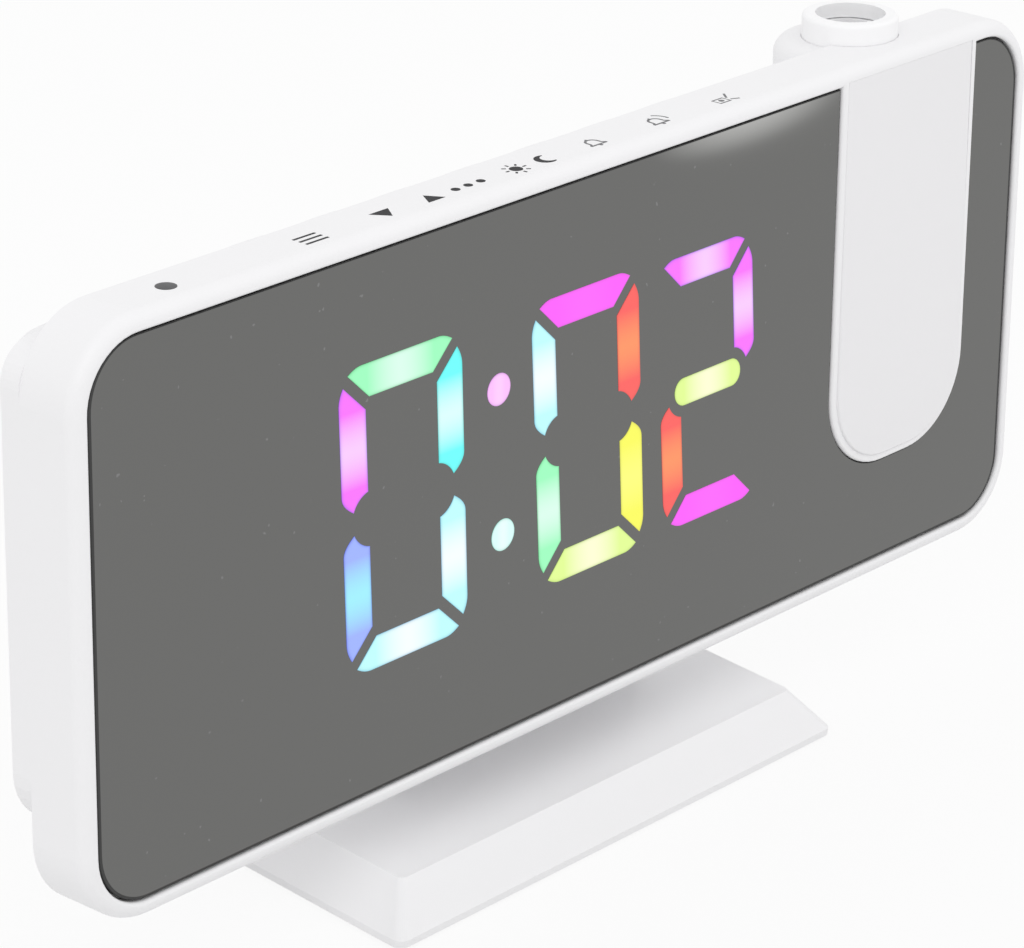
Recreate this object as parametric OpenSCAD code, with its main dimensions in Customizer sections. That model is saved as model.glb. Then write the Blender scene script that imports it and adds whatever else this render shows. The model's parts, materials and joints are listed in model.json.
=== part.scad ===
// Projection alarm clock: a framed mirror display on a bevelled foot, with a
// row of keys along the back of the top edge and a focusing projector turret.
// Millimetres. The row frame has its origin under the middle of the foot, +X to
// the viewer's right, +Y to the rear and +Z up. The display head is drawn in its
// own face frame (x right, y into the clock, z up the face, origin at the centre
// of the mirror's front) and on_face() leans it back onto the foot.

/* [Mirror] */
// Width of the mirror panel
mirror_w = 178; // [172:1:190]
// Height of the mirror panel
mirror_h = 71.1; // [70:0.1:80]
// Corner radius of the mirror panel
mirror_r = 7.9; // [4:0.1:12]
// Thickness of the mirror panel
mirror_t = 2; // [1.5:0.1:2.4]
// Bevel round the front edge of the mirror
mirror_bevel = 0.5; // [0.2:0.1:0.8]
// Gap between the mirror and the frame
mirror_gap = 0.3; // [0.1:0.05:0.5]

/* [Frame] */
// Wall of the frame round the mirror
rim_wall = 2.25; // [2:0.05:3]
// Depth of the frame behind the mirror's front
frame_d = 8.6; // [7.8:0.1:9.2]
// How far the frame's rounded nose stands proud of the mirror
rim_crest = 0.45; // [0.3:0.05:0.7]
// Radius of the nose on its outer side
nose_r = 1.8; // [1.2:0.1:1.9]
// Width of the ledge that the mirror is bonded to
ledge_w = 2.4; // [1.8:0.1:3]
// Thickness of that ledge
ledge_t = 1.2; // [0.8:0.1:1.5]

/* [Projector strip] */
// Distance from the mirror's right edge to the middle of the strip
strip_inset = 25.2; // [22:0.1:30]
// Width of the strip's cover
cover_w = 27.7; // [25:0.1:31]
// Height of the cover's lowest point on the face, counted from the centre
cover_low = -19.65; // [-26:0.05:-12]
// Radius of the cover's lower corners
cover_r = 10.95; // [6:0.05:12]
// How far the cover's lower end stands out past the nose's crest
cover_rise = 0.35; // [0.2:0.05:0.6]
// Depth of the cover behind the mirror's front
cover_sunk = 1.2; // [0.8:0.05:1.4]
// Rounding of the cover's front edge
cover_soft = 0.3; // [0.1:0.05:0.5]
// Width of the soft white border round the cover
cover_border = 1.1; // [0.8:0.05:1.5]

/* [Digits] */
// Height of a digit
digit_h = 39.2; // [30:0.1:42]
// Width of a digit
digit_w = 20.7; // [16:0.1:21]
// Thickness of the upright segments
seg_up = 4.35; // [3:0.05:5]
// Thickness of the top and bottom segments
seg_flat = 4.2; // [3:0.05:5]
// Thickness of the round-ended middle segment
seg_mid = 4; // [3:0.1:5]
// Length of the middle segment
seg_mid_l = 14.4; // [11:0.1:15]
// Gap between neighbouring segments
seg_gap = 1.5; // [0.7:0.1:1.8]
// Shift of the mitred gaps from a digit's inner corners towards the uprights
mitre_in = 0.4; // [0:0.1:0.6]
// Gap round the ends of the middle segment
seg_mid_gap = 1.6; // [1:0.1:2]
// Cut at a digit's outer corners
seg_cut = 0.9; // [0.4:0.1:1.4]
// Backward shift of the digits for each millimetre of height
slant = 0.063; // [0:0.001:0.1]
// Distance between the two digits of a pair
digit_pitch = 24.03; // [22:0.01:26]
// Distance between the inner digits, across the colon
pair_gap = 34.5; // [32:0.1:38]
// Middle of the display on the face, sideways
display_x = -19.2; // [-22:0.1:-16]
// Middle of the display on the face, upwards
display_z = 1.7; // [-1:0.1:3]
// Half the distance between the colon's dots
colon_rise = 9.95; // [7:0.05:13]
// Radius of a colon dot
colon_r = 2.15; // [1.5:0.05:2.6]

/* [Display stack] */
// Thickness of the dark segment mask
mask_t = 0.6; // [0.3:0.1:0.8]
// Depth of the white light box
light_box_t = 5.4; // [4:0.1:6]
// Thickness of the circuit boards
board_t = 1.6; // [1.2:0.1:2]
// Border of the light box round the digits
box_border = 2.5; // [2:0.1:3]

/* [Rear shell] */
// Wall of the rear shell
shell_wall = 2; // [1.6:0.1:2.4]
// Depth of the whole head from the mirror's front to the rear
shell_d = 24; // [23:0.1:26]
// Step from the frame's top down to the shelf that carries the keys
key_step = 3.9; // [3.4:0.1:4.4]
// Height of the shell's underside above the frame's underside
shell_lift = 10.5; // [10:0.1:12]
// Thickness of the plate that closes the frame below the shell
plate_t = 1.4; // [1:0.1:1.8]
// Radius of the shell's upper corners
shell_r = 5; // [4:0.5:6]
// Radius of the shell's lower corners
shell_low_r = 8; // [6:0.5:10]

/* [Keys] */
// Number of keys
key_count = 7; // [5:1:7]
// Distance between neighbouring keys
key_pitch = 12.85; // [12:0.05:13.5]
// Middle of the key row
key_mid_x = -10.4; // [-12:0.1:-8]
// Width of a key
key_w = 9.4; // [7:0.1:9.6]
// Depth of a key, front to back
key_d = 4.8; // [4:0.1:5]
// Height of a key's crown above its shelf
key_proud = 1.25; // [0.8:0.05:1.6]
// How far a key's domed top falls from its crown to its sides
key_dome = 0.5; // [0.2:0.05:0.6]
// Rounding of a key's front and rear edges
key_soft = 0.8; // [0.4:0.1:1.2]
// Travel of a key
key_travel = 0.5; // [0.3:0.05:0.6]
// Gap round a key in its hole
key_gap = 0.3; // [0.2:0.05:0.4]

/* [Projector] */
// Depth of the projector's axis behind the mirror's front
axis_y = 10.3; // [10:0.05:11]
// Radius of the turret's shoulder
turret_r = 10.35; // [9.8:0.05:11]
// Height of the shoulder below the frame's top
turret_drop = 0.45; // [0:0.05:1]
// Rounding of the shoulder's top edge
turret_soft = 2.4; // [1.5:0.1:3]
// Outer radius of the focus ring
ring_r = 6.6; // [6.4:0.05:6.8]
// Height of the focus ring above the shoulder
ring_h = 3.35; // [2:0.05:5]
// Rounding of the ring's top edge
ring_soft = 0.6; // [0.3:0.1:0.9]
// Radius of the opening in the ring's top
ring_open = 4.8; // [4.4:0.1:5.1]
// Radius of the fixed inner tube, outside
tube_r = 5.2; // [5:0.05:5.3]
// Wall of the fixed inner tube
tube_wall = 0.85; // [0.7:0.05:1]
// Running clearance of the turning and sliding pieces
run_gap = 0.08; // [0.04:0.01:0.1]
// Focus travel of the lens, each way
lens_travel = 1.2; // [0.6:0.1:1.6]
// Turn of the focus ring, each way, in degrees
ring_turn = 60; // [45:5:70]
// Radius of the lens cell's drive pins
pin_r = 0.55; // [0.4:0.05:0.6]
// Length of the lens cell
cell_l = 6; // [5:0.1:6.5]

/* [Battery and sockets] */
// Diameter of the backup coin cell
cell_d = 20; // [16:0.1:20]
// Thickness of the coin cell
cell_t = 3.2; // [1.6:0.1:3.2]
// Middle of the battery pocket, sideways
pocket_x = -18; // [-20:0.5:-14]
// Middle of the battery pocket, upwards
pocket_z = 4; // [3:0.5:6]
// Place of the power socket, sideways
dc_x = 38; // [34:0.5:40]
// Place of the USB socket, sideways
usb_x = 22; // [18:0.5:24]
// Height of both sockets on the face
socket_z = -10; // [-12:0.5:-4]
// Place of the buzzer, sideways
buzzer_x = -50; // [-54:0.5:-44]
// Radius of the buzzer
buzzer_r = 6; // [4.5:0.1:7]

/* [Stand] */
// Backward lean of the display head, in degrees
lean = 5.4; // [0:0.1:8]
// Height of the mirror's centre above the table
face_z = 54.6; // [52:0.1:60]
// Distance of the mirror's foot point in front of the stand's middle
face_y = -11; // [-14:0.1:-9]
// Width of the foot
foot_w = 88; // [80:1:120]
// Depth of the foot
foot_d = 45; // [42:1:60]
// Height of the foot's top
foot_h = 6.9; // [6:0.1:9]
// Sideways and lengthways set-back of the foot's top
foot_bevel = 4.7; // [3:0.1:6]
// Upright lip at the bottom of the foot
foot_lip = 1; // [0.6:0.1:1.6]
// Wall of the foot
foot_wall = 2; // [1.6:0.1:2.4]
// Width of the neck
neck_w = 52; // [40:1:60]
// Wall of the neck
neck_wall = 1.7; // [1.4:0.1:2]
// Room round the screw heads in the neck's hollow
head_room = 0.5; // [0.4:0.1:0.8]
// Radius of a rubber pad under the foot
pad_r = 4.5; // [3:0.1:5]
// How far the rubber pads lift the foot
pad_lift = 0.4; // [0.2:0.1:0.8]

/* [Screws] */
// Radius of the housing, stand and board screws
screw_r = 1.25; // [1:0.05:1.4]
// Radius of a screw's head
head_r = 2.3; // [2:0.1:2.6]
// Height of a screw's head
head_h = 1.6; // [1.2:0.1:2]
// Clearance round a screw's shank
screw_gap = 0.05; // [0.02:0.01:0.1]

/* [Hidden] */
$fn = 64;

eps = 0.01;
hull_fn = 32;

// Outlines that follow from the mirror
open_w = mirror_w + 2 * mirror_gap;
open_h = mirror_h + 2 * mirror_gap;
open_r = mirror_r + mirror_gap;
frame_w = open_w + 2 * rim_wall;
frame_h = open_h + 2 * rim_wall;
frame_r = open_r + rim_wall;
frame_top = frame_h / 2;

// Depth planes of the display stack, behind the mirror's front
mask_y = mirror_t;
light_box_y = mask_y + mask_t;
board_y = light_box_y + light_box_t;
board_back = board_y + board_t;
plate_y = frame_d - plate_t;
rear_inside = shell_d - shell_wall;

// Strip and its cover
strip_x = mirror_w / 2 - strip_inset;
cover_top = open_h / 2 + rim_crest;
cover_tilt = asin(cover_rise / (cover_top - cover_low));
cover_fit = 0.02;
notch_gap = 0.1;
strip_w = cover_w + 2 * cover_border;
strip_low = cover_low - cover_border;
strip_r = cover_r + cover_border;
stake_r = 1;
stake_inset = 4.2;
stake_x = cover_w / 2 - stake_inset;

// Rear shell: full outline to side_depth, drawn in a little at mid_y and most at the rear
side_depth = 3.1;
mid_depth = 5.6;
mid_y = frame_d + mid_depth;
mid_side = 3.4;
mid_top = 0.7;
mid_low = 3.3;
rear_side = 18.5;
rear_top = 5;
rear_low = 6.6;
shell_top = frame_top - key_step;
shell_low = -frame_h / 2 + shell_lift;
plate_gap = 0.1;

// Housing screws: one near each corner of the head
screw_inset = 11;
screw_rise = 6.9;
screw_fall = 11.4;
screw_x = frame_w / 2 - screw_inset;
screw_low = -frame_h / 2 + screw_rise;
screw_high = frame_top - screw_fall;
screw_l = 5.4;
boss_r = 2.8;
boss_floor = 0.6;
rib_t = 1.6;
tower_r = 3.4;
head_gap = 0.2;

// Keys, their switches and the key board
key_setback = 1.4;
key_y = frame_d + key_setback + key_d / 2;
key_corner = 1.2;
key_flange = 0.8;
flange_over = 0.6;
flange_back = 0.2;
flange_gap = 0.2;
flange_w = key_w + 2 * flange_over;
flange_d = key_d + 4 * flange_back;
flange_top = shell_top - shell_wall - flange_gap;
key_x0 = key_mid_x - key_pitch * (key_count - 1) / 2;
stem_r = 1.2;
stem_l = 2;
stem_end = flange_top - key_flange - stem_l;
stem_play = 0.05;
plunger_top = stem_end - key_travel - stem_play;
switch_w = 6;
switch_d = switch_w;
switch_h = 3.5;
plunger_r = 1.6;
plunger_h = 0.4;
key_board_top = plunger_top - plunger_h - switch_h;
key_board_low = key_board_top - board_t;
key_board_side = switch_w / 2 + 4;
key_board_x0 = key_x0 - key_board_side;
key_board_x1 = key_x0 + key_pitch * (key_count - 1) + key_board_side;
key_board_y0 = board_y + 0.2;
key_board_y1 = key_y + switch_d / 2 + 1.2;
ribbon_w = 10;
ribbon_t = 0.3;
ribbon_l = 6;

// Sockets
dc_w = 9;
dc_collar_r = 3.9;
dc_bore_r = 3.15;
dc_bore_l = 9.5;
dc_pin_r = 1;
usb_w = 14.4;
usb_h = 7;
usb_wall = 0.5;
usb_depth = 11;
usb_tongue_w = 11.2;
usb_tongue_t = 1.8;
usb_tongue_rise = 1;
usb_tongue_back = 1.5;
socket_gap = 0.15;
buzzer_h = 8;
buzzer_z = 4;
buzzer_hole_r = 1;
sound_r = 0.9;
sound_ring = 3.2;

// Display stack outlines
digit_x = [display_x - pair_gap / 2 - digit_pitch, display_x - pair_gap / 2,
           display_x + pair_gap / 2, display_x + pair_gap / 2 + digit_pitch];
digit_lean = slant * digit_h / 2;
box_x0 = digit_x[0] - digit_w / 2 - digit_lean - box_border;
box_extra = 4;
box_x1 = digit_x[3] + digit_w / 2 + digit_lean + box_border + box_extra;
box_z0 = display_z - digit_h / 2 - box_border;
box_z1 = display_z + digit_h / 2 + box_border + 0.8;
board_border = 1;
board_x0 = box_x0 - board_border;
board_x1 = dc_x + dc_w / 2 + 2.5;
board_z0 = box_z0 - board_border;
board_z1 = key_board_low - 0.3;
tab_w = 8;
led_w = 2;
led_h = 1.2;
led_t = 0.8;

// Screws through the board into the light box: two at its free edge, one between the
// colon's dots and one low between the digits of each pair
stack_edge = 2.2;
stack_end = 3.4;
stack_drop = 15;
stack_screws = concat(
    [[box_x1 - stack_edge, box_z0 + stack_end], [box_x1 - stack_edge, box_z1 - stack_end],
     [display_x, display_z]],
    [for (s = [-1, 1]) [display_x + s * (pair_gap + digit_pitch) / 2 + slant * stack_drop,
                        display_z - stack_drop]]);
stack_pilot = 3.6;

// Posts of the rear shell that press on the display board
press_r = 2;
press_inset = 8;
press_spread = 69.6;
press_z = 1;
press_rise = 13;
press_posts = [for (dx = [0, press_spread], s = [-1, 1])
               [board_x0 + press_inset + dx, press_z + s * press_rise]];

// Projector
axis_x = strip_x;
turret_top = frame_top - turret_drop;
ring_top = turret_top + ring_h;
bore_r = ring_r + run_gap;
collar_wall = 1.25;
collar_h = 13.8;
collar_r = bore_r + collar_wall;
collar_low = turret_top - collar_h;
collar_rise = 0.1;
seam_gap = 0.03;
ring_flange_r = ring_r + 0.5;
ring_flange_t = 1.2;
ring_play = 0.1;
ring_lip = 2;
tube_in = tube_r - tube_wall;
tube_top = ring_top - ring_lip - 0.2;
tube_flange_t = 2;
tube_low = collar_low - tube_flange_t;
pin_rise = 6;
pin_z = collar_low + pin_rise;
pin_gap = 0.12;
pin_reach = tube_r + 0.75;
pin_root = 0.4;
slot_end = 0.2;
groove_gap = 0.17;
groove_r = pin_reach + 0.15;
groove_step = 7.5;
groove_count = 2 * ring_turn / groove_step;
cell_r = tube_in - run_gap;
cell_wall = 0.8;
cell_drop = 1.8;
cell_low = pin_z - cell_drop;
cell_top = cell_low + cell_l;
lens_r = cell_r - 0.3;
lens_seat = pin_z + pin_r + 0.9;
lens_edge = 1.2;
lens_curve = 12;
lens_fit = 0.02;
small_screw_r = 0.9;
small_head_r = 1.5;
small_head_h = 1;
house_w = 13;
house_wall = 1.3;
house_h = 10;
house_low = tube_low - house_h;
slide_w = 9.9;
slide_t = 1.1;
led_r = 2.5;
led_body = 3;
post_r = 1.9;
post_h = 4;
post_x = house_w / 2 + post_r - 0.4;
lamp_board_w = 2 * post_x + 2 * post_r + 0.4;
ear_x = house_w / 2 + small_head_r + 0.1;
ear_y = 2.95;
ear_pilot = 6;
wire_r = 0.5;
wire_bends = [3, 4.6];
wire_run = 5;

// Battery pocket in the rear wall
pocket_w = cell_d + 3;
pocket_wall = 1.2;
cover_ledge = 1.5;
door_w = pocket_w + 2 * cover_ledge;
door_r = 2;
door_t = 1.8;
door_gap = 0.25;
door_y = shell_d - door_t;
notch_w = 8;
notch_d = 1.4;
clip_t = 0.4;
clip_w = 8;
clip_tab = 6;
cell_play = 0.4;
pocket_floor = door_y - cell_t - clip_t - cell_play;

// Light sensor under the top edge
sensor_inset = 19.1;
sensor_x = -frame_w / 2 + sensor_inset;
sensor_y = 4.25;
sensor_hole_r = 0.8;
sensor_r = 0.92;
sensor_h = 2.4;
sensor_foot = 0.6;
sensor_collar_r = 1.9;
lead_pitch = 1;
lead_r = 0.22;
lead_drop = 4.2;

// Stand
pad_t = 1.4;
pad_gap = 0.1;
pad_seat = 1.2;
pad_x = foot_w / 2 - pad_r - 3.5;
pad_y = foot_d / 2 - pad_r - 3;
foot_r = 1.5;
foot_top_r = 1;
foot_rib_t = 1.6;
foot_rib_out = 1.4;
neck_d = 2 * (head_r + head_room + neck_wall);
neck_r = 3;
neck_hollow_r = 1.5;
neck_top_t = 3;
mount_drop = 2;
mount_z = shell_low - mount_drop;
mount_y0 = frame_d + 2.7;
mount_y1 = mount_y0 + neck_d + 0.1;
mount_root = 6.4;
stand_screw_inset = 12;
stand_screw_x = neck_w / 2 - stand_screw_inset;
stand_screw_y = (mount_y0 + mount_y1) / 2;
stand_screw_l = 8;
stand_pilot = stand_screw_l - neck_top_t + 0.2;
// The neck stands upright under the middle of the plate that its screws clamp
neck_y = face_y + stand_screw_y * cos(lean) + (mount_z - neck_top_t / 2) * sin(lean);

// ---------- frames and helpers ----------

// Puts a piece drawn in the face frame onto the stand
module on_face() {
    translate([0, face_y, face_z]) rotate([-lean, 0, 0]) children();
}

// Plate between two depths, from an outline drawn on the face
module slab(y0, y1) {
    rotate([90, 0, 0]) translate([0, 0, -y1]) linear_extrude(y1 - y0) children();
}

// Bar along the face's height, from an outline drawn in the x and y of the face
module column(z0, z1) {
    translate([0, 0, z0]) linear_extrude(z1 - z0) children();
}

module rounded_rect(w, h, r) {
    translate([-w / 2 + r, -h / 2]) square([w - 2 * r, h]);
    translate([-w / 2, -h / 2 + r]) square([w, h - 2 * r]);
    for (sx = [-1, 1], sy = [-1, 1])
        translate([sx * (w / 2 - r), sy * (h / 2 - r)]) circle(r);
}

// Round plug along the depth at a point of the face
module plug(x, z, r, y0, y1) {
    translate([x, y0, z]) rotate([-90, 0, 0]) cylinder(r = r, h = y1 - y0);
}

// Carries a profile (outward, forward) round a rounded rectangle on the face
module around(w, h, r) {
    rotate([90, 0, 0]) {
        for (i = [0 : 3]) {
            sx = (i == 0 || i == 3) ? 1 : -1;
            sy = i < 2 ? 1 : -1;
            translate([sx * (w / 2 - r), sy * (h / 2 - r), 0]) rotate([0, 0, 90 * i])
                rotate_extrude(angle = 90) translate([r, 0]) children();
        }
        for (i = [0, 2]) {
            rotate([0, 0, 90 * i]) translate([w / 2, 0, 0]) rotate([90, 0, 0])
                linear_extrude(h - 2 * r, center = true) children();
            rotate([0, 0, 90 * (i + 1)]) translate([h / 2, 0, 0]) rotate([90, 0, 0])
                linear_extrude(w - 2 * r, center = true) children();
        }
    }
}

// U-shaped outline that is open to the top: the strip, its cover and their cuts
module tongue(w, low, r, top) {
    translate([strip_x - w / 2, low + r]) square([w, top - low - r]);
    translate([strip_x - w / 2 + r, low]) square([w - 2 * r, r + eps]);
    for (s = [-1, 1]) translate([strip_x + s * (w / 2 - r), low + r]) circle(r);
}

// ---------- segment outlines ----------

seg_xo = digit_w / 2;
seg_zo = digit_h / 2;
seg_xi = seg_xo - seg_up;
seg_zi = seg_zo - seg_flat;
seg_diag = seg_xi - seg_zi + mitre_in;
seg_half = seg_gap / sqrt(2);
mid_c = (seg_mid_l - seg_mid) / 2;
mid_clear = seg_mid / 2 + seg_mid_gap;
arc_in = asin(seg_xi - mid_c < mid_clear ? (seg_xi - mid_c) / mid_clear : 1);
arc_out = 70;

function slanted(p) = [p[0] - slant * p[1], p[1]];
function flipped(pts, sx, sz) = [for (p = pts) [sx * p[0], sz * p[1]]];

// Top segment: a flat bar with mitred ends and cut outer corners
bar_in = seg_zi + seg_diag - seg_half;
bar_out = bar_in + seg_flat - seg_cut;
bar_pts = [[-bar_in, seg_zi], [bar_in, seg_zi], [bar_out, seg_zo - seg_cut],
           [bar_out - 2 * seg_cut, seg_zo], [2 * seg_cut - bar_out, seg_zo],
           [-bar_out, seg_zo - seg_cut]];

// Upper right segment: a mitred upright, hollowed round the middle segment's end
up_in = seg_xi - seg_diag - seg_half;
up_tip = up_in + seg_up - seg_cut;
upright_pts = concat(
    [for (i = [0 : 5])
        let (a = arc_in + (arc_out - arc_in) * i / 5)
        [mid_c + mid_clear * sin(a), mid_clear * cos(a)]],
    [[seg_xo, mid_clear * cos(arc_out) + 1.4], [seg_xo, up_tip - 1.4],
     [seg_xo - seg_cut, up_tip], [seg_xi, up_in]]);

// Middle segment: a bar with full round ends
capsule_pts = [for (s = [1, -1], a = [-90 : 22.5 : 90])
               [s * (mid_c + seg_mid / 2 * cos(a)), s * seg_mid / 2 * sin(a)]];

segment_shapes = [bar_pts, upright_pts, flipped(upright_pts, 1, -1),
                  flipped(bar_pts, 1, -1), flipped(upright_pts, -1, -1),
                  flipped(upright_pts, -1, 1), capsule_pts];

// Centres of the seven segments, for their light sources
segment_mids = [[0, seg_zo - seg_flat / 2], [seg_xo - seg_up / 2, seg_zo / 2],
                [seg_xo - seg_up / 2, -seg_zo / 2], [0, seg_flat / 2 - seg_zo],
                [seg_up / 2 - seg_xo, -seg_zo / 2], [seg_up / 2 - seg_xo, seg_zo / 2],
                [0, 0]];

// Every lit window of the display: four digits and the colon
module display_windows() {
    for (x = digit_x, pts = segment_shapes)
        translate([x, display_z]) polygon([for (p = pts) slanted(p)]);
    for (s = [-1, 1])
        translate([display_x - slant * s * colon_rise, display_z + s * colon_rise])
            circle(colon_r, $fn = 32);
}

module box_outline() {
    translate([box_x0, box_z0]) square([box_x1 - box_x0, box_z1 - box_z0]);
}

// ---------- front ----------

// Section of the frame: a wall whose front edge is a rounded nose
module rim_profile() {
    flat = rim_wall - nose_r;
    translate([0, -frame_d]) square([rim_wall, frame_d + rim_crest - nose_r]);
    translate([0, -nose_r]) square([flat, nose_r + rim_crest - flat]);
    intersection() {
        translate([flat, rim_crest - nose_r]) circle(nose_r);
        translate([flat, rim_crest - nose_r]) square(nose_r);
    }
    intersection() {
        translate([flat, rim_crest - flat]) circle(flat);
        translate([0, rim_crest - flat]) square(flat);
    }
}

// Panel that carries the strip's cover: it stands as proud of the mirror as the
// nose and has the same soft edge
module strip_panel() {
    high = frame_top + 2 * strip_r;
    tall = high - strip_low;
    intersection() {
        translate([strip_x, 0, (strip_low + high) / 2]) {
            slab(-rim_crest, mirror_t)
                rounded_rect(strip_w - 2 * rim_crest, tall - 2 * rim_crest, strip_r - rim_crest);
            slab(0, mirror_t) rounded_rect(strip_w, tall, strip_r);
            around(strip_w, tall, strip_r) intersection() {
                translate([-rim_crest, 0]) circle(rim_crest);
                translate([-rim_crest, 0]) square(rim_crest);
            }
        }
        translate([strip_x - strip_w, -2 * rim_crest, strip_low - 1])
            cube([2 * strip_w, mirror_t + 2 * rim_crest, cover_top - strip_low + 1]);
    }
}

module front_frame() {
    color("white") on_face() difference() {
        union() {
            around(open_w, open_h, open_r) rim_profile();
            // Ledge behind the mirror
            difference() {
                slab(mirror_t, mirror_t + ledge_t) rounded_rect(open_w + 1, open_h + 1, open_r);
                slab(mirror_t - 1, mirror_t + ledge_t + 1)
                    rounded_rect(open_w - 2 * ledge_w, open_h - 2 * ledge_w, open_r - ledge_w);
            }
            strip_panel();
            // Screw bosses for the rear shell, tied to the walls by ribs
            for (sx = [-1, 1]) {
                for (z = [screw_low, screw_high])
                    plug(sx * screw_x, z, boss_r, mirror_t, plate_y);
                translate([sx * screw_x - rib_t / 2, mirror_t + ledge_t - eps, screw_high])
                    cube([rib_t, plate_y - mirror_t - ledge_t, open_h / 2 - screw_high + eps]);
                translate([sx * screw_x - rib_t / 2, mirror_t + ledge_t - eps, -open_h / 2 - eps])
                    cube([rib_t, plate_y - mirror_t - ledge_t, open_h / 2 + screw_low]);
            }
            // Collar for the light sensor
            translate([sensor_x, sensor_y, open_h / 2 - sensor_h])
                cylinder(r = sensor_collar_r, h = sensor_h + eps);
        }
        // Recess for the cover, with two holes for its heat stakes
        slab(-rim_crest - 1, cover_sunk)
            tongue(cover_w + 2 * cover_fit, cover_low - cover_fit, cover_r + cover_fit,
                   cover_top + cover_fit);
        for (s = [-1, 1])
            plug(strip_x + s * stake_x, 0, stake_r + cover_fit, 0, mirror_t + 1);
        // Way for the focus ring and its collar
        translate([axis_x, axis_y, 0]) cylinder(r = bore_r, h = frame_h);
        translate([axis_x, axis_y, collar_low - 1])
            cylinder(r = collar_r + plate_gap, h = open_h / 2 - collar_low + 1);
        // Pilot holes of the housing screws
        for (sx = [-1, 1], z = [screw_low, screw_high])
            plug(sx * screw_x, z, screw_r + screw_gap, mirror_t + boss_floor, plate_y + 1);
        // Light sensor: seat from below and a small window in the top
        translate([sensor_x, sensor_y, open_h / 2 - sensor_h - 1])
            cylinder(r = sensor_r + run_gap, h = sensor_h + 1, $fn = 32);
        translate([sensor_x, sensor_y, open_h / 2 - 1])
            cylinder(r = sensor_hole_r, h = rim_wall + 2, $fn = 32);
    }
}

// Cover of the strip: level with the nose at its top, a little prouder at its end
module strip_cover() {
    color("whitesmoke") on_face() {
        hull() {
            translate([0, -rim_crest, cover_top]) rotate([-cover_tilt, 0, 0])
                translate([0, rim_crest, -cover_top]) {
                slab(-rim_crest, -rim_crest + eps)
                    tongue(cover_w - 2 * cover_soft, cover_low + cover_soft,
                           cover_r - cover_soft, cover_top, $fn = hull_fn);
                slab(-rim_crest + cover_soft, -rim_crest + cover_soft + eps)
                    tongue(cover_w, cover_low, cover_r, cover_top, $fn = hull_fn);
            }
            slab(cover_sunk - eps, cover_sunk)
                tongue(cover_w, cover_low, cover_r, cover_top, $fn = hull_fn);
        }
        for (s = [-1, 1])
            plug(strip_x + s * stake_x, 0, stake_r, cover_sunk - eps, mirror_t);
    }
}

module mirror_panel() {
    color("dimgray") on_face() difference() {
        slab(0, mirror_t) rounded_rect(mirror_w, mirror_h, mirror_r);
        slab(-1, mirror_t + 1)
            tongue(strip_w + 2 * notch_gap, strip_low - notch_gap, strip_r + notch_gap, mirror_h);
        around(mirror_w, mirror_h, mirror_r)
            polygon([[-mirror_bevel, eps], [-mirror_bevel, 0], [0, -mirror_bevel],
                     [eps, -mirror_bevel], [eps, eps]]);
    }
}

module segment_mask() {
    color("black") on_face() slab(mask_y, light_box_y) difference() {
        box_outline();
        display_windows();
    }
}

module light_box() {
    color("white") on_face() difference() {
        slab(light_box_y, board_y) box_outline();
        slab(light_box_y - 1, board_y + 1) display_windows();
        for (p = stack_screws)
            plug(p[0], p[1], small_screw_r + screw_gap, board_y - stack_pilot, board_y + 1);
    }
}

module display_board() {
    color("darkgreen") on_face() difference() {
        union() {
            slab(board_y, board_back) translate([board_x0, board_z0])
                square([board_x1 - board_x0, board_z1 - board_z0]);
            // Tab that reaches up to the light sensor's leads
            slab(board_y, board_back) translate([sensor_x - tab_w / 2, board_z1 - 1])
                square([tab_w, open_h / 2 - sensor_h - lead_drop + 1.6 - board_z1]);
        }
        for (p = stack_screws)
            plug(p[0], p[1], small_screw_r + screw_gap, board_y - 1, board_back + 1);
    }
}

// One light source per window, standing in its well
module display_leds() {
    color("lightyellow") on_face() {
        for (x = digit_x, m = segment_mids)
            translate([x + slanted(m)[0] - led_w / 2, board_y - led_t, display_z + m[1] - led_h / 2])
                cube([led_w, led_t, led_h]);
        for (s = [-1, 1])
            translate([display_x - slant * s * colon_rise - led_w / 2, board_y - led_t,
                       display_z + s * colon_rise - led_h / 2])
                cube([led_w, led_t, led_h]);
    }
}

// ---------- rear shell ----------

// Outline of the shell at one depth, drawn in by the given amounts
module shell_layer(y0, y1, side, top, low, inset) {
    w = frame_w - 2 * side - 2 * inset;
    z0 = shell_low + low + inset;
    z1 = shell_top - top - inset;
    high_r = shell_r - inset;
    low_r = shell_low_r - inset;
    slab(y0, y1) for (s = [-1, 1]) {
        translate([s * (w / 2 - high_r), z1 - high_r]) circle(high_r, $fn = hull_fn);
        translate([s * (w / 2 - low_r), z0 + low_r]) circle(low_r, $fn = hull_fn);
    }
}

module shell_form(front, back, inset) {
    hull() {
        shell_layer(front, frame_d + side_depth, 0, 0, 0, inset);
        shell_layer(mid_y, mid_y + eps, mid_side, mid_top, mid_low, inset);
        shell_layer(back - eps, back, rear_side, rear_top, rear_low, inset);
    }
}

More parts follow.
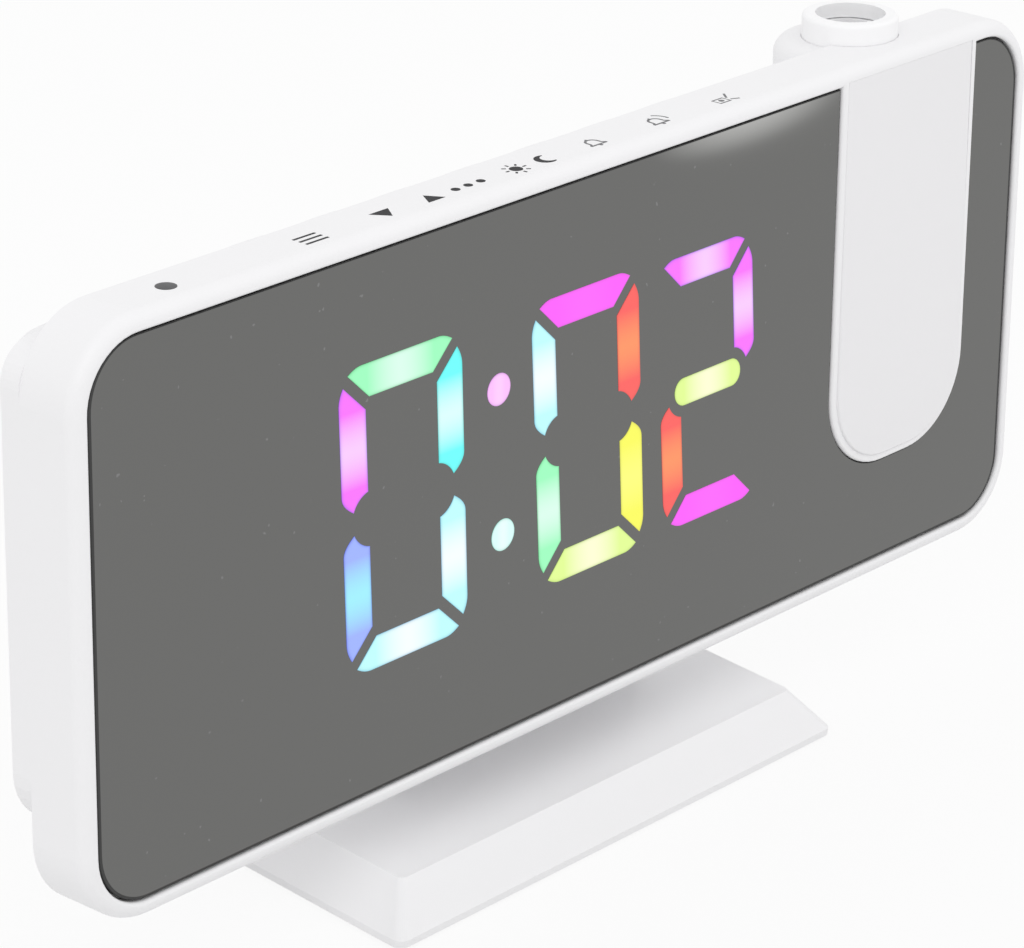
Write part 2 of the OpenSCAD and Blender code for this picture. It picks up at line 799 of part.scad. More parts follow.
// Turret: a shoulder behind the frame's top and a collar that runs down inside
module turret_form() {
    difference() {
        union() {
            translate([axis_x, axis_y, collar_low + collar_rise])
                cylinder(r = collar_r, h = open_h / 2 - plate_gap - collar_low - collar_rise);
            intersection() {
                translate([axis_x, axis_y, 0]) rotate_extrude() {
                    translate([0, collar_low])
                        square([turret_r, turret_top - turret_soft - collar_low]);
                    translate([0, turret_top - turret_soft])
                        square([turret_r - turret_soft, turret_soft]);
                    intersection() {
                        translate([turret_r - turret_soft, turret_top - turret_soft])
                            circle(turret_soft);
                        translate([turret_r - turret_soft, turret_top - turret_soft])
                            square(turret_soft);
                    }
                }
                translate([axis_x - turret_r - 1, frame_d + seam_gap, 0])
                    cube([2 * turret_r + 2, shell_d, frame_h]);
            }
        }
        // Bore for the focus ring, with a recess for its flange
        translate([axis_x, axis_y, collar_low - 1]) cylinder(r = bore_r, h = frame_h);
        translate([axis_x, axis_y, collar_low - 1])
            cylinder(r = ring_flange_r + run_gap, h = ring_flange_t + 2 * ring_play + 1);
        for (s = [-1, 1])
            translate([axis_x + s * ear_x, axis_y + ear_y, collar_low - 1])
                cylinder(r = small_screw_r + screw_gap, h = ear_pilot + 1, $fn = 32);
    }
}

module rear_shell() {
    color("white") on_face() difference() {
        union() {
            difference() {
                union() {
                    slab(plate_y, frame_d)
                        rounded_rect(open_w - 2 * plate_gap, open_h - 2 * plate_gap,
                                     open_r - plate_gap);
                    shell_form(frame_d, shell_d, 0);
                }
                shell_form(plate_y - 1, rear_inside, shell_wall);
            }
            // Flat block under the shell that sits on the neck, solid for its screws
            translate([-neck_w / 2, mount_y0, mount_z])
                cube([neck_w, mount_y1 - mount_y0, mount_drop + mount_root]);
            // Towers for the upper screws
            intersection() {
                for (sx = [-1, 1]) plug(sx * screw_x, screw_high, tower_r, plate_y, shell_d);
                shell_form(plate_y, shell_d, 0);
            }
            // Battery pocket
            slab(pocket_floor - pocket_wall, rear_inside + eps) translate([pocket_x, pocket_z])
                square(pocket_w + 2 * pocket_wall, center = true);
            // Posts that press on the display board
            for (p = press_posts)
                plug(p[0], p[1], press_r, board_back, rear_inside + eps);
        }
        // Pocket and the seat of its cover
        slab(pocket_floor, shell_d + 1) translate([pocket_x, pocket_z])
            square(pocket_w, center = true);
        slab(door_y, shell_d + 1) translate([pocket_x, pocket_z])
            rounded_rect(door_w, door_w, door_r);
        // Key holes, with room for the flanges under the shelf
        for (i = [0 : key_count - 1])
            translate([key_x0 + i * key_pitch, key_y, 0]) {
                column(flange_top - 1, frame_top)
                    square([key_w + 2 * key_gap, key_d + 2 * key_gap], center = true);
                translate([0, -flange_back, 0])
                    column(flange_top - key_flange - 2 * key_travel, flange_top + flange_gap)
                        square([flange_w + 2 * key_gap, flange_d + 2 * key_gap], center = true);
            }
        // Way for the turret
        translate([axis_x, axis_y, collar_low - 1])
            cylinder(r = bore_r, h = frame_h);
        // Screw holes: shallow ones in the plate and deep ones in the towers
        for (sx = [-1, 1]) {
            for (z = [screw_low, screw_high]) {
                plug(sx * screw_x, z, screw_r + screw_gap, plate_y - 1, frame_d + 1);
                plug(sx * screw_x, z, head_r + head_gap, frame_d, shell_d);
            }
        }
        // Sockets and sound holes in the rear wall
        plug(dc_x, socket_z, dc_collar_r + socket_gap, rear_inside - 1, shell_d + 1);
        slab(rear_inside - 1, shell_d + 1) translate([usb_x, socket_z])
            square([usb_w + 2 * socket_gap, usb_h + 2 * socket_gap], center = true);
        plug(buzzer_x, buzzer_z, sound_r, rear_inside - 1, shell_d + 1);
        for (a = [0 : 60 : 300])
            plug(buzzer_x + sound_ring * cos(a), buzzer_z + sound_ring * sin(a), sound_r,
                 rear_inside - 1, shell_d + 1);
        // Pilot holes of the stand screws
        for (s = [-1, 1])
            translate([s * stand_screw_x, stand_screw_y, mount_z - 1])
                cylinder(r = screw_r + screw_gap, h = stand_pilot + 1, $fn = 32);
    }
    color("white") on_face() turret_form();
}

// ---------- keys ----------

// Section of a key's cap across its width: upright sides and a low domed crown
module key_crown() {
    dome_r = (key_w * key_w / 4 + key_dome * key_dome) / (2 * key_dome);
    intersection() {
        translate([-key_w / 2, flange_top - eps]) square([key_w, shell_top]);
        translate([0, shell_top + key_proud - dome_r]) circle(dome_r, $fn = 256);
    }
}

// Section of a key's cap from front to rear: upright sides and soft upper edges
module key_section() {
    top = shell_top + key_proud;
    translate([-key_d / 2, flange_top - eps])
        square([key_d, top - key_soft - flange_top + eps]);
    translate([-key_d / 2 + key_soft, flange_top])
        square([key_d - 2 * key_soft, top - flange_top]);
    for (s = [-1, 1]) intersection() {
        translate([s * (key_d / 2 - key_soft), top - key_soft]) circle(key_soft);
        translate([-key_d / 2, top - key_soft]) square([key_d, key_soft]);
    }
}

// One key: a domed cap, a flange that stops it under the shelf and a stem
module key(i) {
    color("white") on_face() translate([key_x0 + i * key_pitch, key_y, 0]) {
        intersection() {
            column(flange_top - eps, frame_top) rounded_rect(key_w, key_d, key_corner);
            slab(-key_d, key_d) key_crown();
            rotate([90, 0, 90]) linear_extrude(2 * key_w, center = true) key_section();
        }
        translate([0, -flange_back, 0]) column(flange_top - key_flange, flange_top)
            square([flange_w, flange_d], center = true);
        translate([0, 0, stem_end]) cylinder(r = stem_r, h = stem_l + eps, $fn = 32);
    }
}

module key_set() { key(0); }
module key_down() { key(1); }
module key_up() { key(2); }
module key_light() { key(3); }
module key_alarm_1() { key(4); }
module key_alarm_2() { key(5); }
module key_projection() { key(6); }

module key_board() {
    color("darkgreen") on_face() column(key_board_low, key_board_top)
        translate([key_board_x0, key_board_y0])
            square([key_board_x1 - key_board_x0, key_board_y1 - key_board_y0]);
}

module tact_switches() {
    color("dimgray") on_face() for (i = [0 : key_count - 1])
        translate([key_x0 + i * key_pitch, key_y, key_board_top]) {
            translate([-switch_w / 2, -switch_d / 2, 0]) cube([switch_w, switch_d, switch_h]);
            translate([0, 0, switch_h - eps])
                cylinder(r = plunger_r, h = plunger_h + eps, $fn = 32);
        }
}

// Flat ribbon from the key board down to the display board
module key_ribbon() {
    color("gainsboro") on_face()
        translate([key_mid_x - ribbon_w / 2, board_back, key_board_low - ribbon_l])
            cube([ribbon_w, ribbon_t, ribbon_l]);
}

// ---------- projector ----------

module projector_tube() {
    color("white") on_face() translate([axis_x, axis_y, 0]) difference() {
        union() {
            translate([0, 0, tube_low]) cylinder(r = tube_r, h = tube_top - tube_low);
            translate([0, 0, tube_low])
                cylinder(r = ring_flange_r + 0.3, h = tube_flange_t);
            column(tube_low, collar_low) translate([-ear_x - post_r, ear_y - post_r])
                square([2 * ear_x + 2 * post_r, 2 * post_r]);
            // Lamp house below the flange, with two screw posts
            column(house_low, tube_low + eps) square(house_w, center = true);
            for (s = [-1, 1])
                translate([s * post_x, 0, house_low]) cylinder(r = post_r, h = post_h, $fn = 32);
        }
        translate([0, 0, tube_low - 1]) cylinder(r = tube_in, h = tube_top - tube_low + 2);
        column(house_low - 1, tube_low) square(house_w - 2 * house_wall, center = true);
        // Slots that guide the lens cell's pins
        translate([-groove_r, -pin_r - pin_gap, pin_z - lens_travel - pin_r - slot_end])
            cube([2 * groove_r, 2 * (pin_r + pin_gap), 2 * (lens_travel + pin_r + slot_end)]);
        for (s = [-1, 1]) {
            translate([s * ear_x, ear_y, tube_low - 1])
                cylinder(r = small_screw_r + screw_gap, h = tube_flange_t + 2, $fn = 32);
            translate([s * post_x, 0, house_low - 1])
                cylinder(r = small_screw_r + screw_gap, h = post_h, $fn = 32);
        }
    }
}

// Focus ring: a smooth barrel with two helical grooves inside it
module focus_ring() {
    color("white") on_face() translate([axis_x, axis_y, 0]) difference() {
        rotate_extrude() {
            translate([tube_r + run_gap, collar_low + ring_play])
                square([ring_flange_r - tube_r - run_gap, ring_flange_t]);
            translate([tube_r + run_gap, collar_low + ring_play])
                square([ring_r - tube_r - run_gap, ring_top - ring_soft - collar_low - ring_play]);
            translate([ring_open, ring_top - ring_lip])
                square([ring_r - ring_soft - ring_open, ring_lip]);
            translate([ring_open, ring_top - ring_lip])
                square([ring_r - ring_open, ring_lip - ring_soft]);
            translate([ring_r - ring_soft, ring_top - ring_soft]) intersection() {
                circle(ring_soft, $fn = 32);
                square(ring_soft);
            }
        }
        for (start = [0, 180], i = [0 : groove_count])
            let (a = -ring_turn + i * groove_step)
            rotate([0, 0, start + a]) translate([0, 0, pin_z - lens_travel * a / ring_turn])
                rotate([0, 90, 0]) cylinder(r = pin_r + groove_gap, h = groove_r, $fn = 32);
    }
}

module lens_cell() {
    color("white") on_face() translate([axis_x, axis_y, 0]) {
        difference() {
            translate([0, 0, cell_low]) cylinder(r = cell_r, h = cell_l);
            translate([0, 0, cell_low - 1]) cylinder(r = cell_r - cell_wall, h = cell_l + 2);
            translate([0, 0, lens_seat]) cylinder(r = lens_r + lens_fit, h = cell_l);
        }
        for (s = [-1, 1])
            translate([s * (cell_r - pin_root), 0, pin_z]) rotate([0, s * 90, 0])
                cylinder(r = pin_r, h = pin_reach - cell_r + pin_root, $fn = 32);
    }
}

// Lens: two spherical faces on a short cylindrical edge
module projection_lens() {
    sag = lens_curve - sqrt(lens_curve * lens_curve - lens_r * lens_r);
    color("lightcyan") on_face() translate([axis_x, axis_y, lens_seat]) {
        intersection() {
            translate([0, 0, lens_edge + sag - lens_curve]) sphere(lens_curve);
            cylinder(r = lens_r, h = lens_edge + sag);
        }
    }
}

// Small glass slide that carries the projected digits
module projection_slide() {
    color("lightblue") on_face() translate([axis_x, axis_y, 0])
        column(tube_low - slide_t, tube_low) square(slide_w, center = true);
}

module projection_led() {
    color("mistyrose") on_face() translate([axis_x, axis_y, house_low]) {
        cylinder(r = led_r, h = led_body, $fn = 32);
        intersection() {
            translate([0, 0, led_body]) sphere(led_r, $fn = 32);
            translate([0, 0, led_body - eps]) cylinder(r = led_r, h = led_r + 1, $fn = 32);
        }
    }
}

module projector_board() {
    color("darkgreen") on_face() translate([axis_x, axis_y, 0]) difference() {
        column(house_low - board_t, house_low) square([lamp_board_w, house_w], center = true);
        for (s = [-1, 1])
            translate([s * post_x, 0, house_low - board_t - 1])
                cylinder(r = small_screw_r + screw_gap, h = board_t + 2, $fn = 32);
    }
}

// Two wires that leave the display board to the rear and turn to the projector
module projector_wires() {
    edge = axis_x - lamp_board_w / 2;
    color("firebrick") on_face() for (bend = wire_bends)
        translate([edge - wire_run, board_back, house_low - board_t / 2]) {
            rotate([0, 0, 90]) rotate_extrude(angle = 90) translate([bend, 0])
                circle(wire_r, $fn = 16);
            translate([0, bend, 0]) rotate([0, 90, 0])
                cylinder(r = wire_r, h = wire_run, $fn = 16);
        }
}

// ---------- battery, sockets and small parts ----------

module battery_cover() {
    w = door_w - 2 * door_gap;
    color("white") on_face() difference() {
        slab(door_y, shell_d) translate([pocket_x, pocket_z])
            rounded_rect(w, w, door_r - door_gap);
        // Finger notch
        translate([pocket_x - notch_w / 2, door_y + door_t / 2, pocket_z + w / 2 - notch_d])
            cube([notch_w, door_t, notch_d + 1]);
    }
}

module coin_cell() {
    color("silver") on_face()
        plug(pocket_x, pocket_z, cell_d / 2, pocket_floor + clip_t, pocket_floor + clip_t + cell_t);
}

// Sprung contact sheet under the cell, with a side tab
module battery_clip() {
    color("gold") on_face() {
        slab(pocket_floor, pocket_floor + clip_t) translate([pocket_x, pocket_z])
            square([pocket_w - 2, clip_w], center = true);
        translate([pocket_x - pocket_w / 2 + 0.2, pocket_floor, pocket_z - clip_tab / 2])
            cube([0.9, clip_t + cell_t - 0.4, clip_tab]);
    }
}

module dc_socket() {
    color("black") on_face() difference() {
        union() {
            slab(board_back, rear_inside) translate([dc_x, socket_z]) square(dc_w, center = true);
            plug(dc_x, socket_z, dc_collar_r, rear_inside - eps, shell_d);
        }
        difference() {
            plug(dc_x, socket_z, dc_bore_r, shell_d - dc_bore_l, shell_d + 1);
            plug(dc_x, socket_z, dc_pin_r, shell_d - dc_bore_l - 1, shell_d - 1);
        }
    }
}

module usb_socket() {
    color("silver") on_face() difference() {
        slab(board_back, shell_d) translate([usb_x, socket_z])
            square([usb_w, usb_h], center = true);
        difference() {
            slab(shell_d - usb_depth, shell_d + 1) translate([usb_x, socket_z])
                square([usb_w - 2 * usb_wall, usb_h - 2 * usb_wall], center = true);
            slab(shell_d - usb_depth - 1, shell_d - usb_tongue_back)
                translate([usb_x, socket_z + usb_tongue_rise])
                    square([usb_tongue_w, usb_tongue_t], center = true);
        }
    }
}

module buzzer() {
    color("black") on_face() difference() {
        plug(buzzer_x, buzzer_z, buzzer_r, board_back, board_back + buzzer_h);
        plug(buzzer_x, buzzer_z, buzzer_hole_r, board_back + buzzer_h - 1,
             board_back + buzzer_h + 1);
    }
}

// Photocell with two leads that bend back to the display board's tab
module light_sensor() {
    top = open_h / 2;
    color("darkslategray") on_face() {
        translate([sensor_x, sensor_y, top - sensor_h - sensor_foot])
            cylinder(r = sensor_r, h = sensor_h + sensor_foot, $fn = 32);
        for (s = [-1, 1])
            translate([sensor_x + s * lead_pitch / 2, sensor_y, top - sensor_h - lead_drop]) {
            cylinder(r = lead_r, h = lead_drop, $fn = 16);
            rotate([-90, 0, 0]) cylinder(r = lead_r, h = board_y - sensor_y, $fn = 16);
        }
    }
}

// ---------- stand ----------

// Bevelled foot, drawn in by a wall for its hollow
module foot_form(inset) {
    z0 = pad_lift - (inset > 0 ? 1 : 0);
    hull() {
        translate([0, 0, z0]) linear_extrude(pad_lift + foot_lip - z0)
            rounded_rect(foot_w - 2 * inset, foot_d - 2 * inset, foot_r, $fn = hull_fn);
        translate([0, 0, foot_h - inset - eps]) linear_extrude(eps)
            rounded_rect(foot_w - 2 * foot_bevel - 2 * inset, foot_d - 2 * foot_bevel - 2 * inset,
                         foot_top_r, $fn = hull_fn);
    }
}

module stand() {
    color("white") difference() {
        union() {
            difference() {
                foot_form(0);
                foot_form(foot_wall);
            }
            // Ribs and pad seats inside the foot
            intersection() {
                foot_form(0);
                union() {
                    for (s = [-1, 1])
                        translate([s * (neck_w / 2 + foot_rib_out + foot_rib_t / 2), 0,
                                   pad_lift + foot_h / 2])
                            cube([foot_rib_t, foot_d, foot_h], center = true);
                    for (sx = [-1, 1], sy = [-1, 1])
                        translate([sx * pad_x, sy * pad_y, pad_lift])
                            cylinder(r = pad_r + pad_seat, h = foot_h);
                }
            }
            // Neck, cut to the head's lean at its top
            difference() {
                translate([0, neck_y, foot_h - foot_wall]) linear_extrude(face_z - foot_h)
                    rounded_rect(neck_w, neck_d, neck_r);
                on_face() translate([-neck_w, -foot_d, mount_z])
                    cube([2 * neck_w, 2 * foot_d, 2 * face_z]);
            }
        }
        // Hollow of the neck, open below
        difference() {
            translate([0, neck_y, 0]) linear_extrude(face_z)
                rounded_rect(neck_w - 2 * neck_wall, neck_d - 2 * neck_wall, neck_hollow_r);
            on_face() translate([-neck_w, -foot_d, mount_z - neck_top_t])
                cube([2 * neck_w, 2 * foot_d, 2 * face_z]);
        }
        // Seats of the rubber pads
        for (sx = [-1, 1], sy = [-1, 1])
            translate([sx * pad_x, sy * pad_y, 0]) cylinder(r = pad_r + pad_gap, h = pad_t);
        on_face() for (s = [-1, 1])
            translate([s * stand_screw_x, stand_screw_y, mount_z - neck_top_t - 1])
                cylinder(r = screw_r + head_gap, h = neck_top_t + 2, $fn = 32);
    }
}

module rubber_feet() {
    color("dimgray") for (sx = [-1, 1], sy = [-1, 1])
        translate([sx * pad_x, sy * pad_y, 0]) cylinder(r = pad_r, h = pad_t);
}

// ---------- screws ----------

// Screw whose head seats at the origin and whose shank runs along +Z
module screw(r, length, head, head_height) {
    translate([0, 0, -eps]) cylinder(r = r, h = length + eps, $fn = 32);
    translate([0, 0, -head_height]) difference() {
        cylinder(r = head, h = head_height, $fn = 32);
        for (a = [0, 90]) rotate([0, 0, a])
            cube([1.2 * head, 0.26 * head, 0.75 * head_height], center = true);
    }
}

module housing_screws() {
    color("silver") on_face() for (sx = [-1, 1], z = [screw_low, screw_high])
        translate([sx * screw_x, frame_d, z]) rotate([90, 0, 0])
            screw(screw_r, screw_l, head_r, head_h);
}

module board_screws() {
    color("silver") on_face() {
        for (p = stack_screws)
            translate([p[0], board_back, p[1]]) rotate([90, 0, 0])
                screw(small_screw_r, board_t + stack_pilot - 0.4, small_head_r, small_head_h);
        translate([axis_x, axis_y, 0]) for (s = [-1, 1]) {
            translate([s * ear_x, ear_y, tube_low])
                screw(small_screw_r, tube_flange_t + ear_pilot - 2, small_head_r, small_head_h);
            translate([s * post_x, 0, house_low - board_t])
                screw(small_screw_r, board_t + post_h - 1.6, small_head_r, small_head_h);
        }
    }
}

module stand_screws() {
    color("silver") on_face() for (s = [-1, 1])
        translate([s * stand_screw_x, stand_screw_y, mount_z - neck_top_t])
            screw(screw_r, stand_screw_l, head_r, head_h);
}

front_frame();
strip_cover();
mirror_panel();
segment_mask();
light_box();
display_board();
display_leds();
rear_shell();
key_set();
key_down();
key_up();
key_light();
key_alarm_1();
key_alarm_2();
key_projection();
key_board();
tact_switches();
key_ribbon();
projector_tube();
focus_ring();
lens_cell();
projection_lens();
projection_slide();
projection_led();
projector_board();
projector_wires();
battery_cover();
coin_cell();
battery_clip();
dc_socket();
usb_socket();
buzzer();
light_sensor();
stand();
rubber_feet();
housing_screws();
board_screws();
stand_screws();
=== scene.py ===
"""Looks of a projection alarm clock: a mirror display in a white frame on a bevelled foot.

Millimetres on the face (x right, y into the clock, z up the face) become metres of
the row frame through on_face().
"""
import bpy
import bmesh
import json
import math
import numpy as np
from mathutils import Matrix, Vector


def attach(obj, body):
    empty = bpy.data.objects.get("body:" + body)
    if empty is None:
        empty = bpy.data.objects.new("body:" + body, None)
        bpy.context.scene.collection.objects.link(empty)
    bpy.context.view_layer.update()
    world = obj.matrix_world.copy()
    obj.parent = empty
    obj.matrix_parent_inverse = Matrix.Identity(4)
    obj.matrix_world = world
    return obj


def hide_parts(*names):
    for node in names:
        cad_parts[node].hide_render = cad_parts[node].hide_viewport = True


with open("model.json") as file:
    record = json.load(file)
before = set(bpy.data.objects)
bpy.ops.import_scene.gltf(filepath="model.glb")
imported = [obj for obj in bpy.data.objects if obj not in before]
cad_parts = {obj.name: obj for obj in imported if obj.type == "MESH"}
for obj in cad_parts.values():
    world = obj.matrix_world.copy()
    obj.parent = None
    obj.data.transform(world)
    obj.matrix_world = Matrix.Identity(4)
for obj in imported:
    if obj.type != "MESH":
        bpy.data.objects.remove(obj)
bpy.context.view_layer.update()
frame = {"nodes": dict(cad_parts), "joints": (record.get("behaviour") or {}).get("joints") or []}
node = frame["nodes"]

# ---------------------------------------------------------------------------
# Camera. A long lens looks down on the clock from its front left.

CAMERA_PLACE = (-0.41598, -0.34064, 0.29957)
CAMERA_AIM = (-0.01660, -0.01103, 0.05423)
CAMERA_ROLL = 5.145
CAMERA_LENS = 160.0
CAMERA_FILM_WIDE = 36.0
CAMERA_NEAR = 0.02
CAMERA_FAR = 20.0

camera_data = bpy.data.cameras.new("camera")
camera_data.lens = CAMERA_LENS
camera_data.sensor_width = CAMERA_FILM_WIDE
camera_data.clip_start = CAMERA_NEAR
camera_data.clip_end = CAMERA_FAR
camera = bpy.data.objects.new("camera", camera_data)
bpy.context.scene.collection.objects.link(camera)
sight = Vector(CAMERA_AIM) - Vector(CAMERA_PLACE)
turn = sight.to_track_quat("-Z", "Y").to_matrix().to_4x4()
camera.matrix_world = (Matrix.Translation(CAMERA_PLACE) @ turn
                       @ Matrix.Rotation(math.radians(CAMERA_ROLL), 4, "Z"))
bpy.context.scene.camera = camera

# ---------------------------------------------------------------------------
# Front frame. One injection moulding in white ABS with a rounded nose round the
# mirror; its surface is finely spark-eroded, so it is satin and not glossy.

WHITE = (0.897, 0.893, 0.905)
WHITE_WARM = (0.880, 0.877, 0.888)
GRAIN_STRENGTH = 0.35
RING_AT = (63.8, 10.3, 30.0)

# the face's axes, from the joint of the focus ring, whose place on the face is known
turn_joint = next(j for j in frame["joints"] if j["name"] == "focus_turn")
FACE_UP = np.array(turn_joint["axis"])
FACE_REAR = np.array([0.0, FACE_UP[2], -FACE_UP[1]])
FACE_AXES = np.array([[1.0, 0.0, 0.0], FACE_REAR, FACE_UP])
FACE_CENTRE = np.array(turn_joint["pos_m"]) - np.array(RING_AT) / 1000 @ FACE_AXES


def on_face(points):
    """Millimetres on the face to metres of the row frame: the face's centre plus x times
    right, y times rear and z times up the face."""
    return np.asarray(points, float) / 1000 @ FACE_AXES + FACE_CENTRE


class Wire:
    """One socket of a material. Arithmetic on it adds Math nodes to the material."""

    def __init__(self, tree, socket):
        self.tree = tree
        self.socket = socket

    def node(self, kind, settings, inputs, output=0):
        """Adds a node of this kind: its settings first, then its inputs as numbers or wires."""
        made = self.tree.nodes.new(kind)
        for name, value in settings.items():
            setattr(made, name, value)
        for name, value in inputs.items():
            if isinstance(value, Wire):
                self.tree.links.new(value.socket, made.inputs[name])
            else:
                made.inputs[name].default_value = value
        return Wire(self.tree, made.outputs[output])

    def maths(self, operation, first, second):
        """Math node of this operation on two numbers or wires."""
        return self.node("ShaderNodeMath", {"operation": operation}, {0: first, 1: second})

    def __add__(self, other):
        return self.maths("ADD", self, other)

    def __sub__(self, other):
        return self.maths("SUBTRACT", self, other)

    def __rsub__(self, other):
        return self.maths("SUBTRACT", other, self)

    def __mul__(self, other):
        return self.maths("MULTIPLY", self, other)

    def __gt__(self, other):
        return self.maths("GREATER_THAN", self, other)

    def __pow__(self, other):
        return self.maths("POWER", self, other)

    def least(self, other):
        return self.maths("MINIMUM", self, other)

    def most(self, other):
        return self.maths("MAXIMUM", self, other)

    __radd__ = __add__
    __rmul__ = __mul__

    def tint(self, low, high):
        """Colour that goes from low to high as this wire goes from 0 to 1."""
        return self.node("ShaderNodeMix", {"data_type": "RGBA"},
                         {0: self, 6: (*low, 1.0), 7: (*high, 1.0)}, output=2)

    def between(self, low, high):
        """Number that goes from low to high as this wire goes from 0 to 1."""
        return low + self * (high - low)

    def noise(self, scale, detail=2.0):
        """Cloudy pattern from 0 to 1 over this wire's coordinates, with scale cells a metre."""
        return self.node("ShaderNodeTexNoise", {},
                         {"Vector": self, "Scale": scale, "Detail": detail})


def new_finish(name, colour, rough, metallic=0.0, **steady):
    """Material with a Principled shader, whose further inputs are named with _ for each
    space. Returns it, the wire of its Object coordinates and a function that links a wire
    to one of the shader's inputs."""
    material = bpy.data.materials.new(name)
    material.use_nodes = True
    tree = material.node_tree
    shader = tree.nodes["Principled BSDF"]
    shader.inputs["Base Color"].default_value = (*colour, 1.0)
    shader.inputs["Roughness"].default_value = rough
    shader.inputs["Metallic"].default_value = metallic
    for socket, value in steady.items():
        shader.inputs[socket.replace("_", " ")].default_value = value
    place = Wire(tree, tree.nodes.new("ShaderNodeTexCoord").outputs["Object"])

    def feed(socket, wire):
        tree.links.new(wire.socket, shader.inputs[socket])

    return material, place, feed


def grain(place, scale, depth):
    """Normal of a fine moulded texture: noise with scale cells a metre, depth metres deep."""
    return place.node("ShaderNodeBump", {},
                      {"Strength": GRAIN_STRENGTH, "Distance": depth,
                       "Height": place.noise(scale, 3.0)})


def wear(finish, *names):
    """Puts a finish on every material slot of these CAD nodes."""
    for name in names:
        for slot in node[name].material_slots:
            slot.material = finish


white_abs, place, feed = new_finish("white_satin_abs", WHITE, 0.42, Specular_IOR_Level=0.42)
feed("Base Color", place.noise(55.0).tint(WHITE_WARM, WHITE))
feed("Roughness", place.noise(420.0).between(0.36, 0.48))
feed("Normal", grain(place, scale=5200.0, depth=3e-5))
wear(white_abs, "front_frame")

# ---------------------------------------------------------------------------
# Rear shell. A second white moulding with the key shelf and the projector's turret,
# screwed to the frame from behind through four deep towers.

wear(white_abs, "rear_shell")

# ---------------------------------------------------------------------------
# Keys. Seven low caps of the same white ABS stand in a row behind the frame's top edge,
# each in its own slot of the rear shell and resting on its switch.

wear(white_abs, "key_set", "key_down", "key_up", "key_light", "key_alarm_1", "key_alarm_2",
     "key_projection")

# ---------------------------------------------------------------------------
# Strip cover. A separate tongue-shaped cap, moulded smoother than the frame and heat
# staked into a white border. It is level with the nose at its top and stands a little
# prouder towards its lower end.

STRIP_COLOUR = (0.854, 0.848, 0.862)
STRIP_MIDDLE = 63.8
STRIP_HALF_WIDTH = 13.85
STRIP_LOW = -19.65
STRIP_TOP = 36.3
STRIP_CORNER = 10.95
# depths of the cap's front at its top, of the rise of its low end, and of its back
STRIP_FRONT = -0.45
STRIP_RISE = 0.35
STRIP_BACK = 1.2
STRIP_SOFT = 0.3
SHARP_ANGLE = 30.0


def arc(centre, radius, start, stop, count):
    """Points of an arc about a centre: the centre plus the radius times the cosine and the
    sine of angles from start to stop degrees. The radius is a pair for an ellipse."""
    a = np.radians(np.linspace(start, stop, count))
    return np.array(centre) + np.stack([np.cos(a), np.sin(a)], 1) * radius


def tongue_outline(inset, straight=11, curved=48):
    """Outline of the tongue drawn in by inset: a flat top, straight sides and a low end
    with a quarter circle at each corner, as (x, z) points in one turn."""
    half = STRIP_HALF_WIDTH - inset
    bend_x, bend_z = STRIP_HALF_WIDTH - STRIP_CORNER, STRIP_LOW + STRIP_CORNER
    down = np.linspace(STRIP_TOP, bend_z, straight + 1)[:-1]
    return np.concatenate([
        np.stack([np.full(straight, STRIP_MIDDLE - half), down], 1),
        arc((STRIP_MIDDLE - bend_x, bend_z), STRIP_CORNER - inset, 180, 270, curved),
        arc((STRIP_MIDDLE + bend_x, bend_z), STRIP_CORNER - inset, 270, 360, curved),
        np.stack([np.full(straight, STRIP_MIDDLE + half), down[::-1]], 1)])


def ring_quads(rows, columns, first=0):
    """Quads between neighbours of a grid of points, closed round each row. The points are
    numbered row by row from first."""
    index = first + np.arange(rows * columns).reshape(rows, columns)
    after = np.roll(index, -1, 1)
    return np.stack([index[:-1], after[:-1], after[1:], index[1:]], -1).reshape(-1, 4)


def new_piece(name, points, faces, merge, thin=0.0, glow=None):
    """Piece at the origin, from points in metres. Points closer than merge become one,
    faces thinner than thin go, and all faces are turned outwards. glow is a colour for
    each point, kept in the attribute of that name."""
    mesh = bpy.data.meshes.new(name)
    mesh.from_pydata(points.reshape(-1, 3).tolist(), [], faces)
    if glow is not None:
        paint = mesh.attributes.new("glow", "FLOAT_COLOR", "POINT")
        paint.data.foreach_set("color", np.hstack([glow, np.ones((len(glow), 1))]).ravel())
    work = bmesh.new()
    work.from_mesh(mesh)
    bmesh.ops.remove_doubles(work, verts=work.verts, dist=merge)
    if thin:
        bmesh.ops.dissolve_degenerate(work, edges=work.edges, dist=thin)
    bmesh.ops.recalc_face_normals(work, faces=work.faces)
    work.to_mesh(mesh)
    work.free()
    piece = bpy.data.objects.new(name, mesh)
    bpy.context.scene.collection.objects.link(piece)
    return piece


def surface(name, grid, ends=True):
    """Smooth piece of a grid of points (rows, columns, 3) in metres, closed round each
    row, with its first and last rows filled as caps."""
    rows, columns = grid.shape[:2]
    faces = ring_quads(rows, columns).tolist()
    if ends:
        faces += [list(range(columns))[::-1],
                  list(range((rows - 1) * columns, rows * columns))]
    piece = new_piece(name, grid, faces, merge=1e-7)
    piece.data.polygons.foreach_set("use_smooth", [True] * len(piece.data.polygons))
    return piece


def strip_rows(steps=8):
    """Rows of the cap from its back edge to its front and in over a quarter-round edge.
    The front comes forward by the rise times the share of the way down from the top."""
    rows = [np.insert(tongue_outline(0.0), 1, STRIP_BACK, 1)]
    for a in np.linspace(0, math.pi / 2, steps):
        outline = tongue_outline(STRIP_SOFT * (1 - math.cos(a)))
        down = (STRIP_TOP - outline[:, 1]) / (STRIP_TOP - STRIP_LOW)
        rows.append(np.insert(outline, 1, STRIP_FRONT - STRIP_RISE * down
                              + STRIP_SOFT * (1 - math.sin(a)), 1))
    return np.array(rows)


